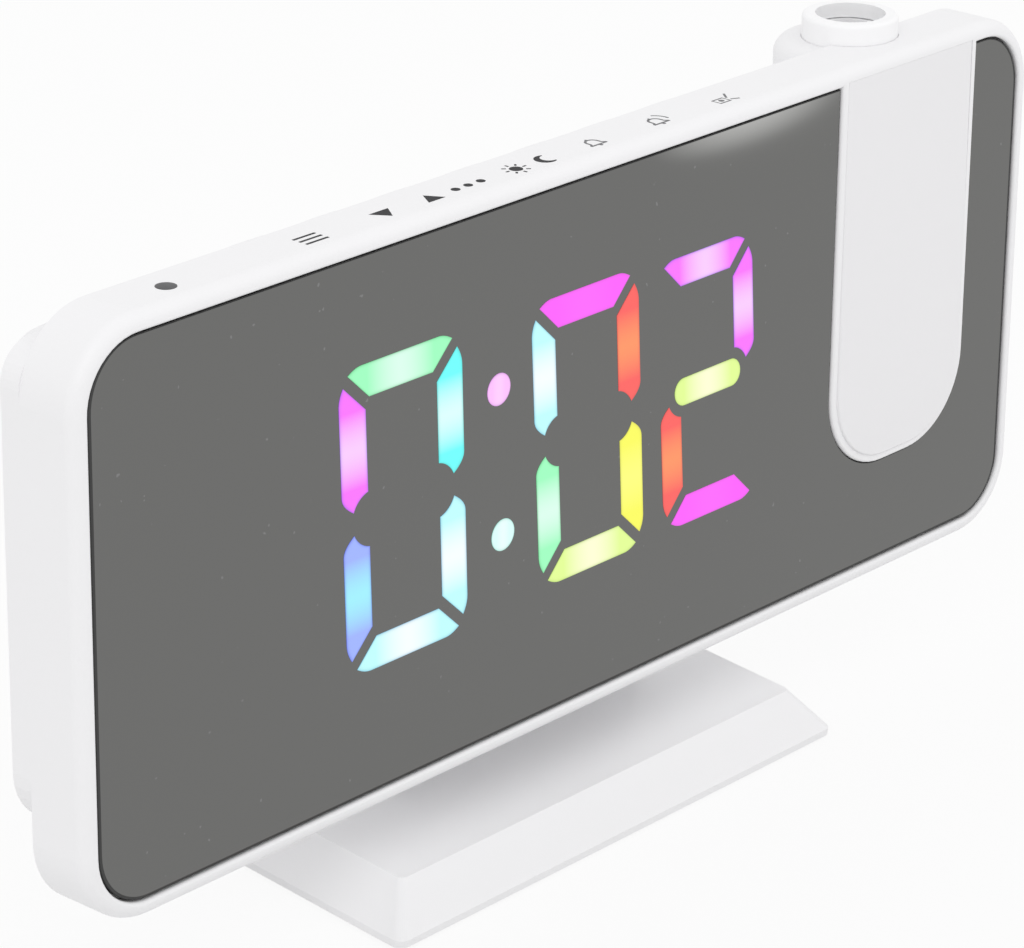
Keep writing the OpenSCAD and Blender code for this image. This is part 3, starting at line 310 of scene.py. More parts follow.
def keep_flat_ends(piece):
    """Sharp shading where two faces meet at more than the sharp angle, in degrees."""
    piece.data.set_sharp_from_angle(angle=math.radians(SHARP_ANGLE))


strip_abs, place, feed = new_finish("strip_smooth_abs", STRIP_COLOUR, 0.38,
                                    Specular_IOR_Level=0.45)
feed("Roughness", place.noise(300.0).between(0.33, 0.43))
feed("Normal", grain(place, scale=6500.0, depth=2e-5))

strip_skin = surface("strip_cap", on_face(strip_rows()))
keep_flat_ends(strip_skin)
strip_skin.data.materials.append(strip_abs)
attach(strip_skin, "case")
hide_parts("strip_cover")

# ---------------------------------------------------------------------------
# Mirror panel. A 2 mm half-silvered acrylic sheet, notched for the strip and bonded
# onto the frame's ledge: a dark grey mirror whose cut edge is black, with a narrow black
# rim on its face that is painted shadow of the gap under the frame's nose.

MIRROR_GREY = (0.158, 0.158, 0.154)
DUST_GREY = (0.22, 0.22, 0.22)
# the cloudy pattern passes this level only in specks
DUST_LEVEL = 0.79
# black of the sheet's cut edge, and of the painted shadow of the gap round the mirror
EDGE_BLACK_AND_GAP_SHADE = (0.02, 0.02, 0.02)
MIRROR_WIDE = 178.0
MIRROR_HIGH = 71.1
MIRROR_CORNER = 7.9
MIRROR_THICK = 2.0
MIRROR_SOFT = 0.1
# how far in the band of painted gap shadow reaches at each side, top and bottom, and
# round the notch
GAP_SHADE_SIDE = 0.48
GAP_SHADE_TOP = 0.15
GAP_SHADE_LOW = 0.38
GAP_SHADE_NOTCH = 0.12
NOTCH_MARGIN = 1.2

mirror_finish, place, feed = new_finish("half_silvered_acrylic", MIRROR_GREY, 0.05, metallic=1.0)
feed("Roughness", place.noise(30.0).between(0.045, 0.065))
dust = place.noise(900.0, 1.0) > DUST_LEVEL
feed("Base Color", dust.tint(MIRROR_GREY, DUST_GREY))
# the cut edge and bevel in black, and the band of painted gap shadow on the face
edge_black_and_gap_shade, place, feed = new_finish("mirror_edge_black_and_painted_gap_shade", EDGE_BLACK_AND_GAP_SHADE, 0.5)
feed("Roughness", place.noise(700.0).between(0.45, 0.55))


def mirror_rows(count=16):
    """Rows of the sheet's outline from its back to its front, over a small bevel and in
    over the band of painted gap shadow: a rounded rectangle that the strip's tongue cuts
    from above. Each row is drawn in by its own insets, so each corner is a quarter of an
    ellipse whose half axes are the corner's radius less the insets of its two sides."""
    bend_x, bend_z = MIRROR_WIDE / 2 - MIRROR_CORNER, MIRROR_HIGH / 2 - MIRROR_CORNER
    rows = []
    for side_in, top_in, low_in, notch_in, depth in (
            (0.0, 0.0, 0.0, 0.0, MIRROR_THICK),
            (0.0, 0.0, 0.0, 0.0, MIRROR_SOFT),
            (MIRROR_SOFT, MIRROR_SOFT, MIRROR_SOFT, MIRROR_SOFT, 0.0),
            (GAP_SHADE_SIDE, GAP_SHADE_TOP, GAP_SHADE_LOW, GAP_SHADE_NOTCH, 0.0)):
        notch = tongue_outline(-NOTCH_MARGIN - notch_in)
        notch[:, 1] = np.minimum(notch[:, 1], MIRROR_HIGH / 2 - top_in)
        top_radii = (MIRROR_CORNER - side_in, MIRROR_CORNER - top_in)
        low_radii = (MIRROR_CORNER - side_in, MIRROR_CORNER - low_in)
        rows.append(np.insert(np.concatenate([
            notch,
            arc((bend_x, bend_z), top_radii, 90, 0, count),
            arc((bend_x, -bend_z), low_radii, 0, -90, count),
            arc((-bend_x, -bend_z), low_radii, -90, -180, count),
            arc((-bend_x, bend_z), top_radii, -180, -270, count)]), 1, depth, 1))
    return np.array(rows)


mirror_sheet = surface("mirror_sheet", on_face(mirror_rows()))
keep_flat_ends(mirror_sheet)
mirror_sheet.data.materials.append(mirror_finish)
mirror_sheet.data.materials.append(edge_black_and_gap_shade)
# the quads are the black edge and bevel and the band of painted gap shadow; the back
# and the face have many corners
for face in mirror_sheet.data.polygons:
    face.material_index = int(len(face.vertices) == 4)
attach(mirror_sheet, "case")
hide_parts("mirror_panel")

# ---------------------------------------------------------------------------
# Light box and segment mask. The box is a matt white moulding that mixes the light of
# the lamps behind each segment; the mask on it is a clear film, printed black.

BOX_WHITE = (0.85, 0.85, 0.83)
FILM_BLACK = (0.02, 0.02, 0.02)

box_white, place, feed = new_finish("light_box_white", BOX_WHITE, 0.7)
feed("Roughness", place.noise(400.0).between(0.62, 0.74))
wear(box_white, "light_box")

mask_black, place, feed = new_finish("mask_black_film", FILM_BLACK, 0.5)
feed("Roughness", place.noise(500.0).between(0.42, 0.54))
wear(mask_black, "segment_mask")

# ---------------------------------------------------------------------------
# Lit digits. Each window of the segment mask glows through the mirror in a colour of
# its own, with a pale middle where its light source stands.

# a digit's size, how thick its uprights, bars and middle bar are, and that bar's length
DIGIT_WIDE = 20.7
DIGIT_HIGH = 39.2
SEGMENT_UP = 4.35
SEGMENT_FLAT = 4.2
SEGMENT_MID = 4.0
SEGMENT_MID_LONG = 14.4
# the gap at a mitre, how far its line passes below the inner corner, and the gap round
# the middle bar
SEGMENT_GAP = 1.5
SEGMENT_MITRE_IN = 0.4
SEGMENT_MID_GAP = 1.6
# how far an outer corner is cut back, and how far along the edge the cut fades out
SEGMENT_CUT = 0.8
SEGMENT_SHOULDER = 2.4
# where an upright's hollow round the middle bar ends, as an angle from z
HOLLOW_END = 66.0
COLON_RADIUS = 2.15
# how far the line of light runs in a bar, an upright and a dot
BAR_LIGHT = 5.6
UPRIGHT_LIGHT = (4.4, 14.2)
DOT_LIGHT = 1.2
# shares of the way from that line out to a segment's edge
GLOW_RINGS = (0, 0.2, 0.4, 0.6, 0.75, 0.86, 0.93, 0.97, 1.0)
GLOW_SPREAD = 1.6
RIM_SHARPNESS = 14
RIM_STRENGTH = 0.7
GLOW_FRONT = -0.04
GLOW_BACK = -0.004
UNLIT = (0.01, 0.01, 0.01)

half_wide, half_high = DIGIT_WIDE / 2, DIGIT_HIGH / 2
inner_x, inner_z = half_wide - SEGMENT_UP, half_high - SEGMENT_FLAT
mitre = SEGMENT_GAP / math.sqrt(2)
bar_in = inner_x + SEGMENT_MITRE_IN - mitre
bar_out = bar_in + SEGMENT_FLAT - SEGMENT_CUT
up_in = inner_z - SEGMENT_MITRE_IN - mitre
up_tip = up_in + SEGMENT_UP - SEGMENT_CUT
cap_middle = (SEGMENT_MID_LONG - SEGMENT_MID) / 2
cap_clear = SEGMENT_MID / 2 + SEGMENT_MID_GAP


def shoulder(tip, across, along, count=9):
    """Curve from a segment's pointed tip to its outer edge: it leaves the edge as a
    parabola, so that far from the tip it runs along the edge. across and along are the
    vectors from the tip out to the edge and back along it."""
    t = np.linspace(0, 1, count)[:, None]
    return np.array(tip) + np.array(across) * (1 - (1 - t) ** 2) + np.array(along) * t


top_left = shoulder((-bar_out, half_high - SEGMENT_CUT), (0, SEGMENT_CUT), (SEGMENT_SHOULDER, 0))
TOP_BAR = np.concatenate([[[-bar_in, inner_z], [bar_in, inner_z]], top_left * (-1, 1),
                          top_left[::-1]])
hollow_start = math.degrees(math.acos((inner_x - cap_middle) / cap_clear))
hollow = arc((cap_middle, 0), cap_clear, hollow_start, 90 - HOLLOW_END, 12)
high_tip = (half_wide - SEGMENT_CUT, up_tip)
UPRIGHT = np.concatenate([
    hollow[:-1], shoulder(hollow[-1], (half_wide - hollow[-1][0], 0), (0, SEGMENT_SHOULDER)),
    shoulder(high_tip, (SEGMENT_CUT, 0), (0, -SEGMENT_SHOULDER))[::-1],
    [[inner_x, up_in]]])
round_end = arc((cap_middle, 0), SEGMENT_MID / 2, -90, 90, 15)
MIDDLE_BAR = np.concatenate([round_end, -round_end])
DOT = arc((0, 0), COLON_RADIUS, 0, 350, 36)
bar_height = half_high - SEGMENT_FLAT / 2
bar_light = ((-BAR_LIGHT, bar_height), (BAR_LIGHT, bar_height))
upright_x = half_wide - SEGMENT_UP / 2
upright_light = ((upright_x, UPRIGHT_LIGHT[0]), (upright_x, UPRIGHT_LIGHT[1]))
# each segment's outline, its mirroring in x and z, and the line that its light runs along
SEGMENTS = {
    "top": (TOP_BAR, (1, 1), bar_light),
    "upper_right": (UPRIGHT, (1, 1), upright_light),
    "lower_right": (UPRIGHT, (1, -1), upright_light),
    "bottom": (TOP_BAR, (1, -1), bar_light),
    "lower_left": (UPRIGHT, (-1, -1), upright_light),
    "upper_left": (UPRIGHT, (-1, 1), upright_light),
    "middle": (MIDDLE_BAR, (1, 1), ((-cap_middle, 0.0), (cap_middle, 0.0))),
    "dot": (DOT, (1, 1), ((-DOT_LIGHT, 0.0), (DOT_LIGHT, 0.0))),
}


def evenly(outline, step=0.2):
    """Closed outline with points added at even steps along each of its edges, so that
    its corners stay where they are."""
    parts = []
    for a, b in zip(outline, np.roll(outline, -1, 0)):
        count = max(1, round(math.dist(a, b) / step))
        parts.append(a + (b - a) * np.linspace(0, 1, count, endpoint=False)[:, None])
    return np.concatenate(parts)


def linear(red, green, blue):
    """Screen colour, 0 to 255, as a linear colour: the sRGB curve undone."""
    c = np.array([red, green, blue]) / 255
    return np.where(c > 0.04045, ((c + 0.055) / 1.055) ** 2.4, c / 12.92)


def glow_plate(segment, centre, stretch, slant, middle, ends, rim):
    """Rows of points from the line of a segment's light out to its outline and under its
    back, and a colour for each: middle blends to ends along the line, and to rim at the
    edge. The digit is stretched about its centre and leans by its slant times the height."""
    outline, mirroring, line = SEGMENTS[segment]
    edge = evenly(outline)
    start, stop = np.array(line[0]), np.array(line[1])
    run = stop - start
    along = np.clip((edge - start) @ run / (run @ run), 0, 1)
    spine = start + along[:, None] * run
    steps = np.array(GLOW_RINGS)
    rows = spine + steps[:, None, None] * (edge - spine)
    rows = np.concatenate([rows, rows[-1:], rows[:1]])
    steps = np.append(steps, [1.0, 1.0])
    depth = np.full(len(steps), GLOW_FRONT)
    depth[-2:] = GLOW_BACK
    far = np.abs(rows - (start + stop) / 2) @ np.abs(run) / (run @ run)
    rows = rows * np.array(mirroring) * np.array(stretch)
    x = centre[0] + rows[..., 0] - slant * rows[..., 1]
    points = np.stack([x, np.broadcast_to(depth[:, None], x.shape), centre[1] + rows[..., 1]], -1)
    spread = np.clip(far * 2, 0, 1)[..., None] ** GLOW_SPREAD
    colour = linear(*middle) * (1 - spread) + linear(*ends) * spread
    border = steps[:, None, None] ** RIM_SHARPNESS * RIM_STRENGTH
    return points, colour * (1 - border) + linear(*rim) * border


def glowing(name, plates, finish):
    """One piece of several glow plates, with their colours in its attribute."""
    points, colours, faces, first = [], [], [], 0
    for grid, colour in plates:
        faces.append(ring_quads(*grid.shape[:2], first))
        points.append(on_face(grid).reshape(-1, 3))
        colours.append(colour.reshape(-1, 3))
        first += len(points[-1])
    piece = new_piece(name, np.concatenate(points), np.concatenate(faces).tolist(),
                      merge=1e-6, thin=1e-7, glow=np.concatenate(colours))
    piece.data.materials.append(finish)
    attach(piece, "case")


glow_finish, place, feed = new_finish("segment_glow", UNLIT, 0.4,
                                      Emission_Strength=1.0, Specular_IOR_Level=0.0)
feed("Emission Color", place.node("ShaderNodeAttribute", {"attribute_name": "glow"}, {}))

# the screen colours of each glow's middle, its ends and its thin rim
GLOWS = {
    "pink": ((251, 207, 255), (252, 124, 255), (145, 100, 235)),
    "magenta": ((255, 112, 255), (255, 106, 255), (225, 100, 218)),
    "rose": ((255, 208, 255), (254, 196, 254), (195, 125, 212)),
    "red": ((255, 155, 109), (254, 109, 106), (225, 94, 93)),
    "yellow": ((255, 255, 132), (253, 253, 104), (205, 205, 95)),
    "lime": ((255, 255, 216), (229, 254, 155), (172, 205, 110)),
    "mint": ((222, 255, 239), (164, 255, 196), (105, 195, 132)),
    "cyan": ((222, 255, 254), (118, 255, 254), (90, 205, 200)),
    "ice": ((248, 255, 255), (196, 255, 254), (112, 180, 220)),
    "frost": ((236, 255, 254), (222, 254, 252), (130, 210, 190)),
    "blue": ((166, 242, 255), (164, 184, 255), (100, 110, 228)),
}
# each digit's centre, stretch in width and height, slant and lit segments
DIGITS = {
    "hour_digit": ((-36.52, 1.45), (1.063, 1.036), 0.041, {
        "top": "mint", "upper_left": "pink", "upper_right": "cyan",
        "lower_left": "blue", "lower_right": "ice", "bottom": "ice"}),
    "minute_tens_digit": ((-1.85, 1.6), (1.0, 1.0), 0.062, {
        "top": "magenta", "upper_left": "ice", "upper_right": "red",
        "lower_left": "mint", "lower_right": "yellow", "bottom": "lime"}),
    "minute_units_digit": ((22.18, 1.35), (0.942, 0.969), 0.075, {
        "top": "pink", "upper_right": "pink", "middle": "lime",
        "lower_left": "red", "bottom": "magenta"}),
    "colon_dot_upper": ((-19.28, 11.76), (1.0, 1.0), 0.0, {"dot": "rose"}),
    "colon_dot_lower": ((-18.23, -8.14), (1.0, 1.0), 0.0, {"dot": "frost"}),
}
for name, (centre, stretch, slant, lit) in DIGITS.items():
    glowing(name, [glow_plate(segment, centre, stretch, slant, *GLOWS[colour])
                   for segment, colour in lit.items()], glow_finish)

# ---------------------------------------------------------------------------
# Circuit boards. Woven glass under green solder mask: the main board behind the light
# box, the key board under the keys and the small board below the projector.

GREEN = (0.02, 0.14, 0.05)
GREEN_DARK = (0.015, 0.11, 0.04)
GREEN_PALE = (0.03, 0.19, 0.07)

solder_mask, place, feed = new_finish("green_solder_mask", GREEN, 0.35)
feed("Base Color", place.noise(260.0, 4.0).tint(GREEN_DARK, GREEN_PALE))
wear(solder_mask, "display_board", "key_board", "projector_board")

# ---------------------------------------------------------------------------
# Parts on the boards. Key switches, power socket, buzzer and light sensor are bought
# parts in black moulded plastic, soldered to the boards.

DARK_PLASTIC = (0.045, 0.045, 0.05)

dark_abs, place, feed = new_finish("dark_matt_plastic", DARK_PLASTIC, 0.6)
feed("Roughness", place.noise(600.0).between(0.5, 0.7))
feed("Normal", grain(place, scale=4200.0, depth=3e-5))
wear(dark_abs, "tact_switches", "dc_socket", "buzzer", "light_sensor")

# ---------------------------------------------------------------------------
# Key legends. Small pictograms pad printed in dark grey on the frame's top edge, one
# in front of each key: list, down, up and colour dots, lamp and moon, two bells and a
# light beam.

# the height of the frame's top and the depth of the legends' line on it
FRAME_TOP = 38.1
LEGEND_Y = 3.7
KEY_COUNT = 7
KEY_PITCH = 12.85
KEY_ROW_MIDDLE = -10.4
# widths of the printed lines
LEGEND_LINE = 0.32
LIST_LINE = 0.42
BELL_LINE = 0.34
THIN_LINE = 0.3
TIP_WIDTH = 0.001
ARC_POINTS = 24
INK_PROUD = 0.012
INK = (0.02, 0.02, 0.022)
INK_DEEP = (0.010, 0.010, 0.012)
INK_THIN = (0.034, 0.034, 0.037)
PALE_INK = (0.17, 0.17, 0.18)
PALE_INK_DEEP = (0.13, 0.13, 0.135)
PALE_INK_THIN = (0.21, 0.21, 0.22)

ink, place, feed = new_finish("legend_ink", INK, 0.55, Specular_IOR_Level=0.25)
feed("Base Color", place.noise(2500.0).tint(INK_DEEP, INK_THIN))
pale_ink, place, feed = new_finish("legend_ink_pale", PALE_INK, 0.55)
feed("Base Color", place.noise(2500.0).tint(PALE_INK_DEEP, PALE_INK_THIN))


def stroke(points, width=LEGEND_LINE, closed=False):
    """Ribbon along a line: each point is set off by half the width to both sides, square
    to the line's direction there. Returns two rows of (x, y) points."""
    p = np.array(points, float)
    if closed:
        p = np.vstack([p, p[:1]])
        way = np.roll(p[:-1], -1, 0) - np.roll(p[:-1], 1, 0)
        way = np.vstack([way, way[:1]])
    else:
        way = np.gradient(p, axis=0)
    way /= np.hypot(*way.T)[:, None]
    off = np.stack([-way[:, 1], way[:, 0]], 1) * width / 2
    return np.stack([p - off, p + off])


def patch(first, second):
    """Filled shape between two lines with equally many points."""
    return np.stack([np.array(first, float), np.array(second, float)])


def disc(x, y, radius):
    """Filled disc between its upper and lower half circles."""
    return patch(arc((x, y), radius, 0, 180, ARC_POINTS),
                 arc((x, y), radius, 0, -180, ARC_POINTS))


def triangle(x, half, base, tip):
    """Filled triangle between its base and a tip that is next to nothing wide."""
    return patch([[x - half, base], [x + half, base]], [[x, tip], [x + TIP_WIDTH, tip]])


def moon(x, radius, bite_x, bite_radius):
    """Filled crescent between an outer arc and a smaller inner one."""
    return patch(arc((x, 0), radius, 60, 300, ARC_POINTS),
                 arc((bite_x, 0), bite_radius, 85, 275, ARC_POINTS))


def lamp(x, radius, ray_start, ray_end):
    """Lamp: a disc with eight rays round it."""
    rays = [np.outer((ray_start, ray_end), (math.cos(a), math.sin(a))) + (x, 0)
            for a in np.radians(np.arange(0, 360, 45))]
    return [disc(x, 0, radius)] + [stroke(ray, THIN_LINE) for ray in rays]


def bell(x):
    """Bell: a dome stroke that flares to a rim, with a knob and a clapper."""
    dome = np.vstack([[[x - 1.45, -0.95], [x - 0.98, -0.45]], arc((x, 0.15), 0.95, 180, 0, 17),
                      [[x + 0.98, -0.45], [x + 1.45, -0.95]]])
    return [stroke(dome, BELL_LINE), stroke([[x - 1.5, -0.95], [x + 1.5, -0.95]], BELL_LINE),
            disc(x, 1.3, 0.2), disc(x, -1.3, 0.26)]


def legend(name, key, shapes, finish=ink):
    """Prints flat shapes, drawn about a key's middle, as one thin layer of ink: each shape
    lies on the frame's top and again as high as the ink, with a rim between the two."""
    middle = KEY_ROW_MIDDLE + KEY_PITCH * (key - (KEY_COUNT - 1) / 2)
    points, faces, first = [], [], 0
    for shape in shapes:
        rows, columns = shape.shape[:2]
        for height in (0.0, INK_PROUD):
            flat = np.insert(shape, 2, FRAME_TOP + height, 2) + (middle, LEGEND_Y, 0)
            points.append(on_face(flat).reshape(-1, 3))
        low = first + np.arange(rows * columns).reshape(rows, columns)
        high = low + rows * columns
        rim_low = np.concatenate([low[0], low[1][::-1]])
        rim_high = np.concatenate([high[0], high[1][::-1]])
        for sheet in (low, high):
            faces.append(np.stack([sheet[0, :-1], sheet[0, 1:], sheet[1, 1:], sheet[1, :-1]], -1))
        faces.append(np.stack([rim_low, np.roll(rim_low, -1), np.roll(rim_high, -1), rim_high], -1))
        first += 2 * rows * columns
    piece = new_piece(name, np.concatenate(points), np.concatenate(faces).tolist(),
                      merge=1e-8, thin=1e-8)
    piece.data.materials.append(finish)
    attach(piece, "case")


# drawn in millimetres about each key's middle
legend("legend_list", 0, [stroke([[-1.9, y], [1.9, y]], LIST_LINE) for y in (-1.1, 0.0, 1.1)])
legend("legend_down", 1, [triangle(0.0, 1.7, 1.1, -1.3)])
legend("legend_up", 2,
       [triangle(-4.7, 1.5, -1.1, 1.3)] + [disc(x, 0, 0.62) for x in (-0.2, 2.1, 4.4)])
legend("legend_lamp_moon", 3, lamp(-1.9, 0.9, 1.25, 1.85) + [moon(3.6, 1.5, 4.2, 1.12)])
legend("legend_bell_one", 4, bell(0.0), pale_ink)
legend("legend_bell_two", 5,
       bell(-0.5) + [stroke(arc((-0.5, 0.2), 2.2, 55, -10, ARC_POINTS), THIN_LINE)], pale_ink)
legend("legend_beam", 6, [
    stroke([[-1.7, -1.2], [0.3, -1.2], [0.3, 0.3], [-1.7, 0.3]], closed=True),
    stroke([[0.75, -0.1], [1.9, 1.3]]), stroke([[0.75, -0.8], [1.9, -1.4]]),
    disc(-0.7, -0.45, 0.42)], pale_ink)

# ---------------------------------------------------------------------------
# Light sensor's window. A small smoked lens is pressed into the top edge over the
# sensor, nearly level with the plastic and slightly domed. Its dark colour is also painted
# shade, standing in for the dark hollow of the sensor's hole.

WINDOW_AT = (-72.45, 4.1)
WINDOW_RADIUS = 1.32
WINDOW_EDGE = 0.02
WINDOW_RISE = 0.06
# dark smoke of the lens, which also paints the shade of the sensor's hole
SMOKE_AND_HOLE_SHADE = (0.05, 0.05, 0.055)
SMOKE_AND_HOLE_SHADE_DARK = (0.03, 0.03, 0.033)
SMOKE_AND_HOLE_SHADE_PALE = (0.07, 0.07, 0.075)


def dome_rows(rings=8, count=48):
    """Rows of the lens from the foot of its edge to its middle: circles whose height is
    the edge's plus the rise times one less the square of their share of the radius."""
    share = np.append(1.0, np.linspace(1.0, 0.1, rings))
    up = WINDOW_EDGE + WINDOW_RISE * (1 - share ** 2)
    up[0] = 0.0
    circle = arc((0, 0), WINDOW_RADIUS, 0, 360, count + 1)[:-1]
    flat = np.array(WINDOW_AT) + share[:, None, None] * circle
    height = np.broadcast_to(FRAME_TOP + up[:, None, None], (rings + 1, count, 1))
    return np.concatenate([flat, height], 2)


# the window in smoke-dark, as painted shade of the hole beneath it
window_smoke_and_shade, place, feed = new_finish("sensor_window_smoke_and_painted_shade", SMOKE_AND_HOLE_SHADE, 0.4)
feed("Base Color", place.noise(1500.0).tint(SMOKE_AND_HOLE_SHADE_DARK, SMOKE_AND_HOLE_SHADE_PALE))
sensor_window = surface("sensor_window", on_face(dome_rows()))
sensor_window.data.materials.append(window_smoke_and_shade)
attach(sensor_window, "case")

# ---------------------------------------------------------------------------
# Focus ring and projector. The ring is a smooth white barrel; inside it a white tube
# carries the lens cell with its clear lens, the glass slide and the lamp, which is cast in
# the same resin as the lamps of the display. Ring, tube and cell are painted a lighter
# white than the frame, as painted light in the barrel and down its bore.

# lighter than the frame's white: painted light in the barrel and its bore
BARREL_PAINTED_LIGHT_WHITE = (0.950, 0.948, 0.956)
CLEAR = (0.90, 0.94, 0.96)
CLEAR_INDEX = 1.49
SLIDE = (0.10, 0.13, 0.15)
SLIDE_DARK = (0.08, 0.10, 0.12)
SLIDE_PALE = (0.13, 0.16, 0.18)
RESIN = (0.80, 0.74, 0.50)
RESIN_DARK = (0.74, 0.66, 0.40)
RESIN_PALE = (0.86, 0.80, 0.58)

# ring, tube and cell in the lighter white of painted light
barrel_painted_light_abs, place, feed = new_finish("barrel_white_with_painted_light", BARREL_PAINTED_LIGHT_WHITE, 0.45,
                                     Specular_IOR_Level=0.42)
feed("Roughness", place.noise(420.0).between(0.39, 0.51))
feed("Normal", grain(place, scale=6000.0, depth=2e-5))
wear(barrel_painted_light_abs, "focus_ring", "projector_tube", "lens_cell")

lens_clear, place, feed = new_finish("clear_moulded_lens", CLEAR, 0.03,
                                     Transmission_Weight=1.0, IOR=CLEAR_INDEX)
feed("Roughness", place.noise(700.0, 1.0).between(0.02, 0.05))
wear(lens_clear, "projection_lens")

slide_glass, place, feed = new_finish("slide_glass", SLIDE, 0.08)
feed("Base Color", place.noise(800.0, 1.0).tint(SLIDE_DARK, SLIDE_PALE))
wear(slide_glass, "projection_slide")

led_resin, place, feed = new_finish("led_resin", RESIN, 0.3)
feed("Base Color", place.noise(900.0, 1.0).tint(RESIN_DARK, RESIN_PALE))
wear(led_resin, "projection_led", "display_leds")

# ---------------------------------------------------------------------------
# Battery, screws and wiring. The cell, the screws and the USB socket's shell are
# nickel-plated steel and the clip is sprung brass; a flat ribbon and red wires join the
# boards, and a white cover closes the battery's pocket.

STEEL = (0.58, 0.58, 0.57)
BRASS = (0.76, 0.60, 0.28)
RIBBON = (0.72, 0.72, 0.70)
RIBBON_DARK = (0.66, 0.66, 0.64)
RIBBON_PALE = (0.78, 0.78, 0.76)
WIRE_RED = (0.52, 0.04, 0.03)
WIRE_RED_DARK = (0.45, 0.03, 0.02)
WIRE_RED_PALE = (0.58, 0.05, 0.04)

plated, place, feed = new_finish("plated_steel", STEEL, 0.3, metallic=1.0)
feed("Roughness", place.noise(1400.0, 3.0).between(0.24, 0.42))
wear(plated, "coin_cell", "usb_socket", "housing_screws", "board_screws", "stand_screws")

brass, place, feed = new_finish("sprung_brass", BRASS, 0.3, metallic=1.0)
feed("Roughness", place.noise(1400.0, 3.0).between(0.25, 0.4))
wear(brass, "battery_clip")

wear(white_abs, "battery_cover")

ribbon, place, feed = new_finish("ribbon_cable", RIBBON, 0.5)
feed("Base Color", place.noise(500.0).tint(RIBBON_DARK, RIBBON_PALE))
wear(ribbon, "key_ribbon")

wire, place, feed = new_finish("red_wire", WIRE_RED, 0.4)
feed("Base Color", place.noise(700.0).tint(WIRE_RED_DARK, WIRE_RED_PALE))
wear(wire, "projector_wires")

# ---------------------------------------------------------------------------
# Stand. The bevelled foot and its neck are one moulding of the same white ABS, screwed
# from below to the plate that closes the frame.

wear(white_abs, "stand")

# ---------------------------------------------------------------------------
# Rubber feet. Four round pads of black rubber are glued into shallow seats under the
# foot, so that the clock doesn't slide.

RUBBER = (0.05, 0.05, 0.05)

pad_rubber, place, feed = new_finish("pad_rubber", RUBBER, 0.75)
feed("Roughness", place.noise(900.0, 3.0).between(0.68, 0.84))
feed("Normal", grain(place, scale=3000.0, depth=5e-5))
wear(pad_rubber, "rubber_feet")

# ---------------------------------------------------------------------------
# Floor. A pale floor that the camera, mirrors and glass see as nearly white, and that
# keeps the clock's shadow.

WHITE_LIGHT = (1, 1, 1, 1)
FLOOR_COLOUR = (0.80, 0.80, 0.80)
FLOOR_SIZE = 8.0
FLOOR_WHITENESS = 0.9


def shine(place, shader):
    """Makes this shader the surface of its material."""
    place.tree.links.new(shader.socket, place.tree.nodes["Material Output"].inputs["Surface"])


floor_mesh = bpy.data.meshes.new("floor")
half = FLOOR_SIZE / 2
floor_mesh.from_pydata([(-half, -half, 0), (half, -half, 0), (half, half, 0), (-half, half, 0)],
                       [], [(0, 1, 2, 3)])
floor = bpy.data.objects.new("floor", floor_mesh)
bpy.context.scene.collection.objects.link(floor)
floor_finish, place, feed = new_finish("pale_floor", FLOOR_COLOUR, 0.9, Specular_IOR_Level=0.0)
seen = (place.node("ShaderNodeLightPath", {}, {}, "Is Camera Ray")
        + place.node("ShaderNodeLightPath", {}, {}, "Is Glossy Ray")
        + place.node("ShaderNodeLightPath", {}, {}, "Is Transmission Ray"))
plain = Wire(place.tree, place.tree.nodes["Principled BSDF"].outputs[0])
white = place.node("ShaderNodeEmission", {}, {"Color": WHITE_LIGHT, "Strength": 1.0})
shine(place, place.node("ShaderNodeMixShader", {},
                        {0: seen.least(1.0) * FLOOR_WHITENESS, 1: plain, 2: white}))
floor.data.materials.append(floor_finish)

# ---------------------------------------------------------------------------
# Card. A small glowing card low at the front right is seen only by mirrors: its soft
# image is the pale patch under the top edge of the mirror panel.

CARD_PLACE = (220.4, -150.0, -39.1)
CARD_HALF = (30.0, 6.2)
CARD_GLOW = 2.9
CARD_FALL = 1.3
CARD_GREY = (0.8, 0.8, 0.8)

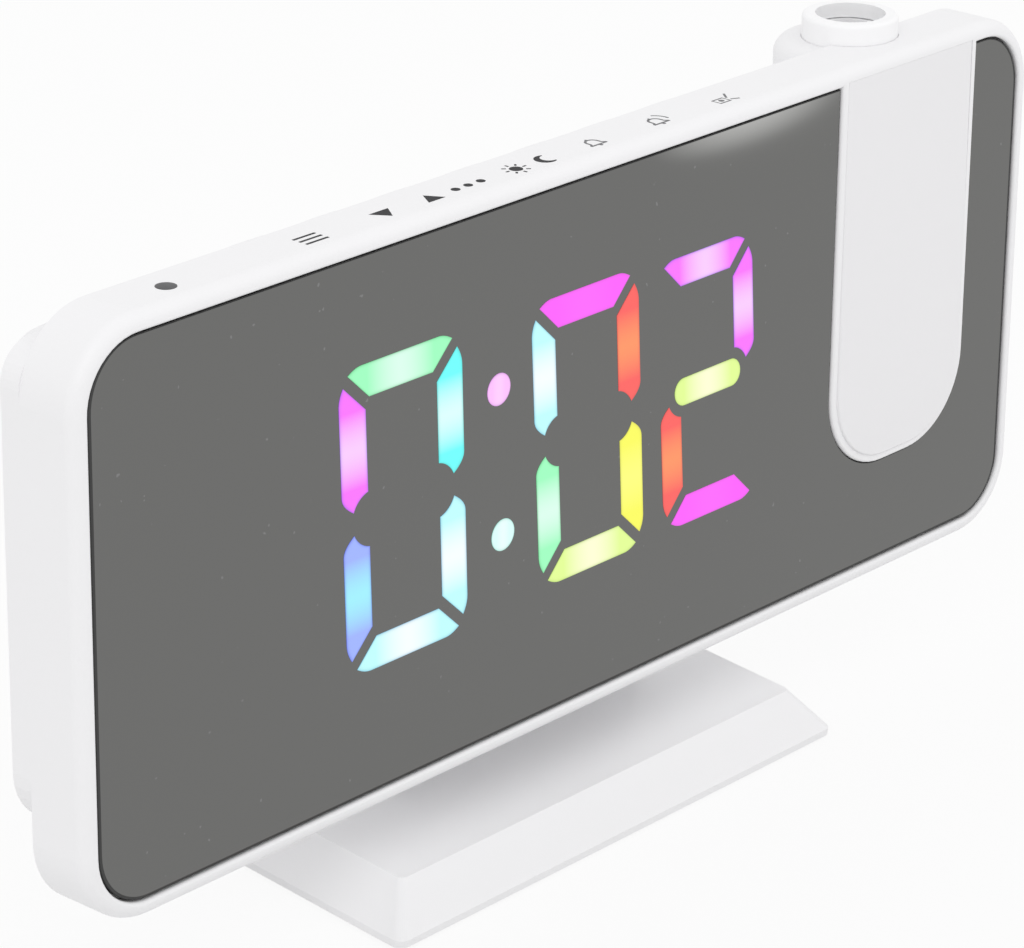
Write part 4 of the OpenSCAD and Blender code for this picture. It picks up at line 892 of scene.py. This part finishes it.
share = np.linspace(0, 1, 14)[:, None, None]
oval = share * arc((0, 0), CARD_HALF, 0, 360, 49)[:-1] + (CARD_PLACE[0], CARD_PLACE[2])
card = surface("card", on_face(np.insert(oval, 1, CARD_PLACE[1], 2)), ends=False)
card_finish, place, feed = new_finish("card_glow", CARD_GREY, 0.9)
card_middle = tuple(on_face(CARD_PLACE))
off = place.node("ShaderNodeVectorMath", {"operation": "SUBTRACT"}, {0: place, 1: card_middle})
flat = off.node("ShaderNodeVectorMath", {"operation": "MULTIPLY"},
                {0: off, 1: (1000 / CARD_HALF[0], 0.0, 1000 / CARD_HALF[1])})
far = flat.node("ShaderNodeVectorMath", {"operation": "LENGTH"}, {0: flat}, "Value")
strong = (1.0 - far * far).most(0.0) ** CARD_FALL
glow = place.node("ShaderNodeEmission", {}, {"Strength": CARD_GLOW})
clear = place.node("ShaderNodeBsdfTransparent", {}, {})
shine(place, place.node("ShaderNodeMixShader", {}, {0: strong, 1: clear, 2: glow}))
card.data.materials.append(card_finish)
card.visible_camera = card.visible_diffuse = card.visible_shadow = False

# ---------------------------------------------------------------------------
# Surround and lamps. A white surround lights the clock evenly, and two large soft boxes
# give it a light and a shaded side.

SURROUND_LEVEL = 0.90
BOX_SIZE = 0.8
BOX_AIM = (0, 0, 0.05)
KEY_BOX_AT = (-0.8, -0.45, 0.9)
KEY_BOX_POWER = 2.2
FILL_BOX_AT = (0.7, -0.5, 0.7)
FILL_BOX_POWER = 0.8

world = bpy.data.worlds.new("surround")
world.use_nodes = True
world.node_tree.nodes["Background"].inputs["Color"].default_value = WHITE_LIGHT
world.node_tree.nodes["Background"].inputs["Strength"].default_value = SURROUND_LEVEL
bpy.context.scene.world = world


def soft_box(name, place, power):
    """Square area lamp at a place, turned to face the clock."""
    data = bpy.data.lights.new(name, "AREA")
    data.size = BOX_SIZE
    data.energy = power
    box = bpy.data.objects.new(name, data)
    bpy.context.scene.collection.objects.link(box)
    box.location = place
    box.rotation_euler = (Vector(BOX_AIM) - Vector(place)).to_track_quat("-Z", "Y").to_euler()


soft_box("key_box", KEY_BOX_AT, KEY_BOX_POWER)
soft_box("fill_box", FILL_BOX_AT, FILL_BOX_POWER)

bpy.context.scene.view_settings.view_transform = "Standard"
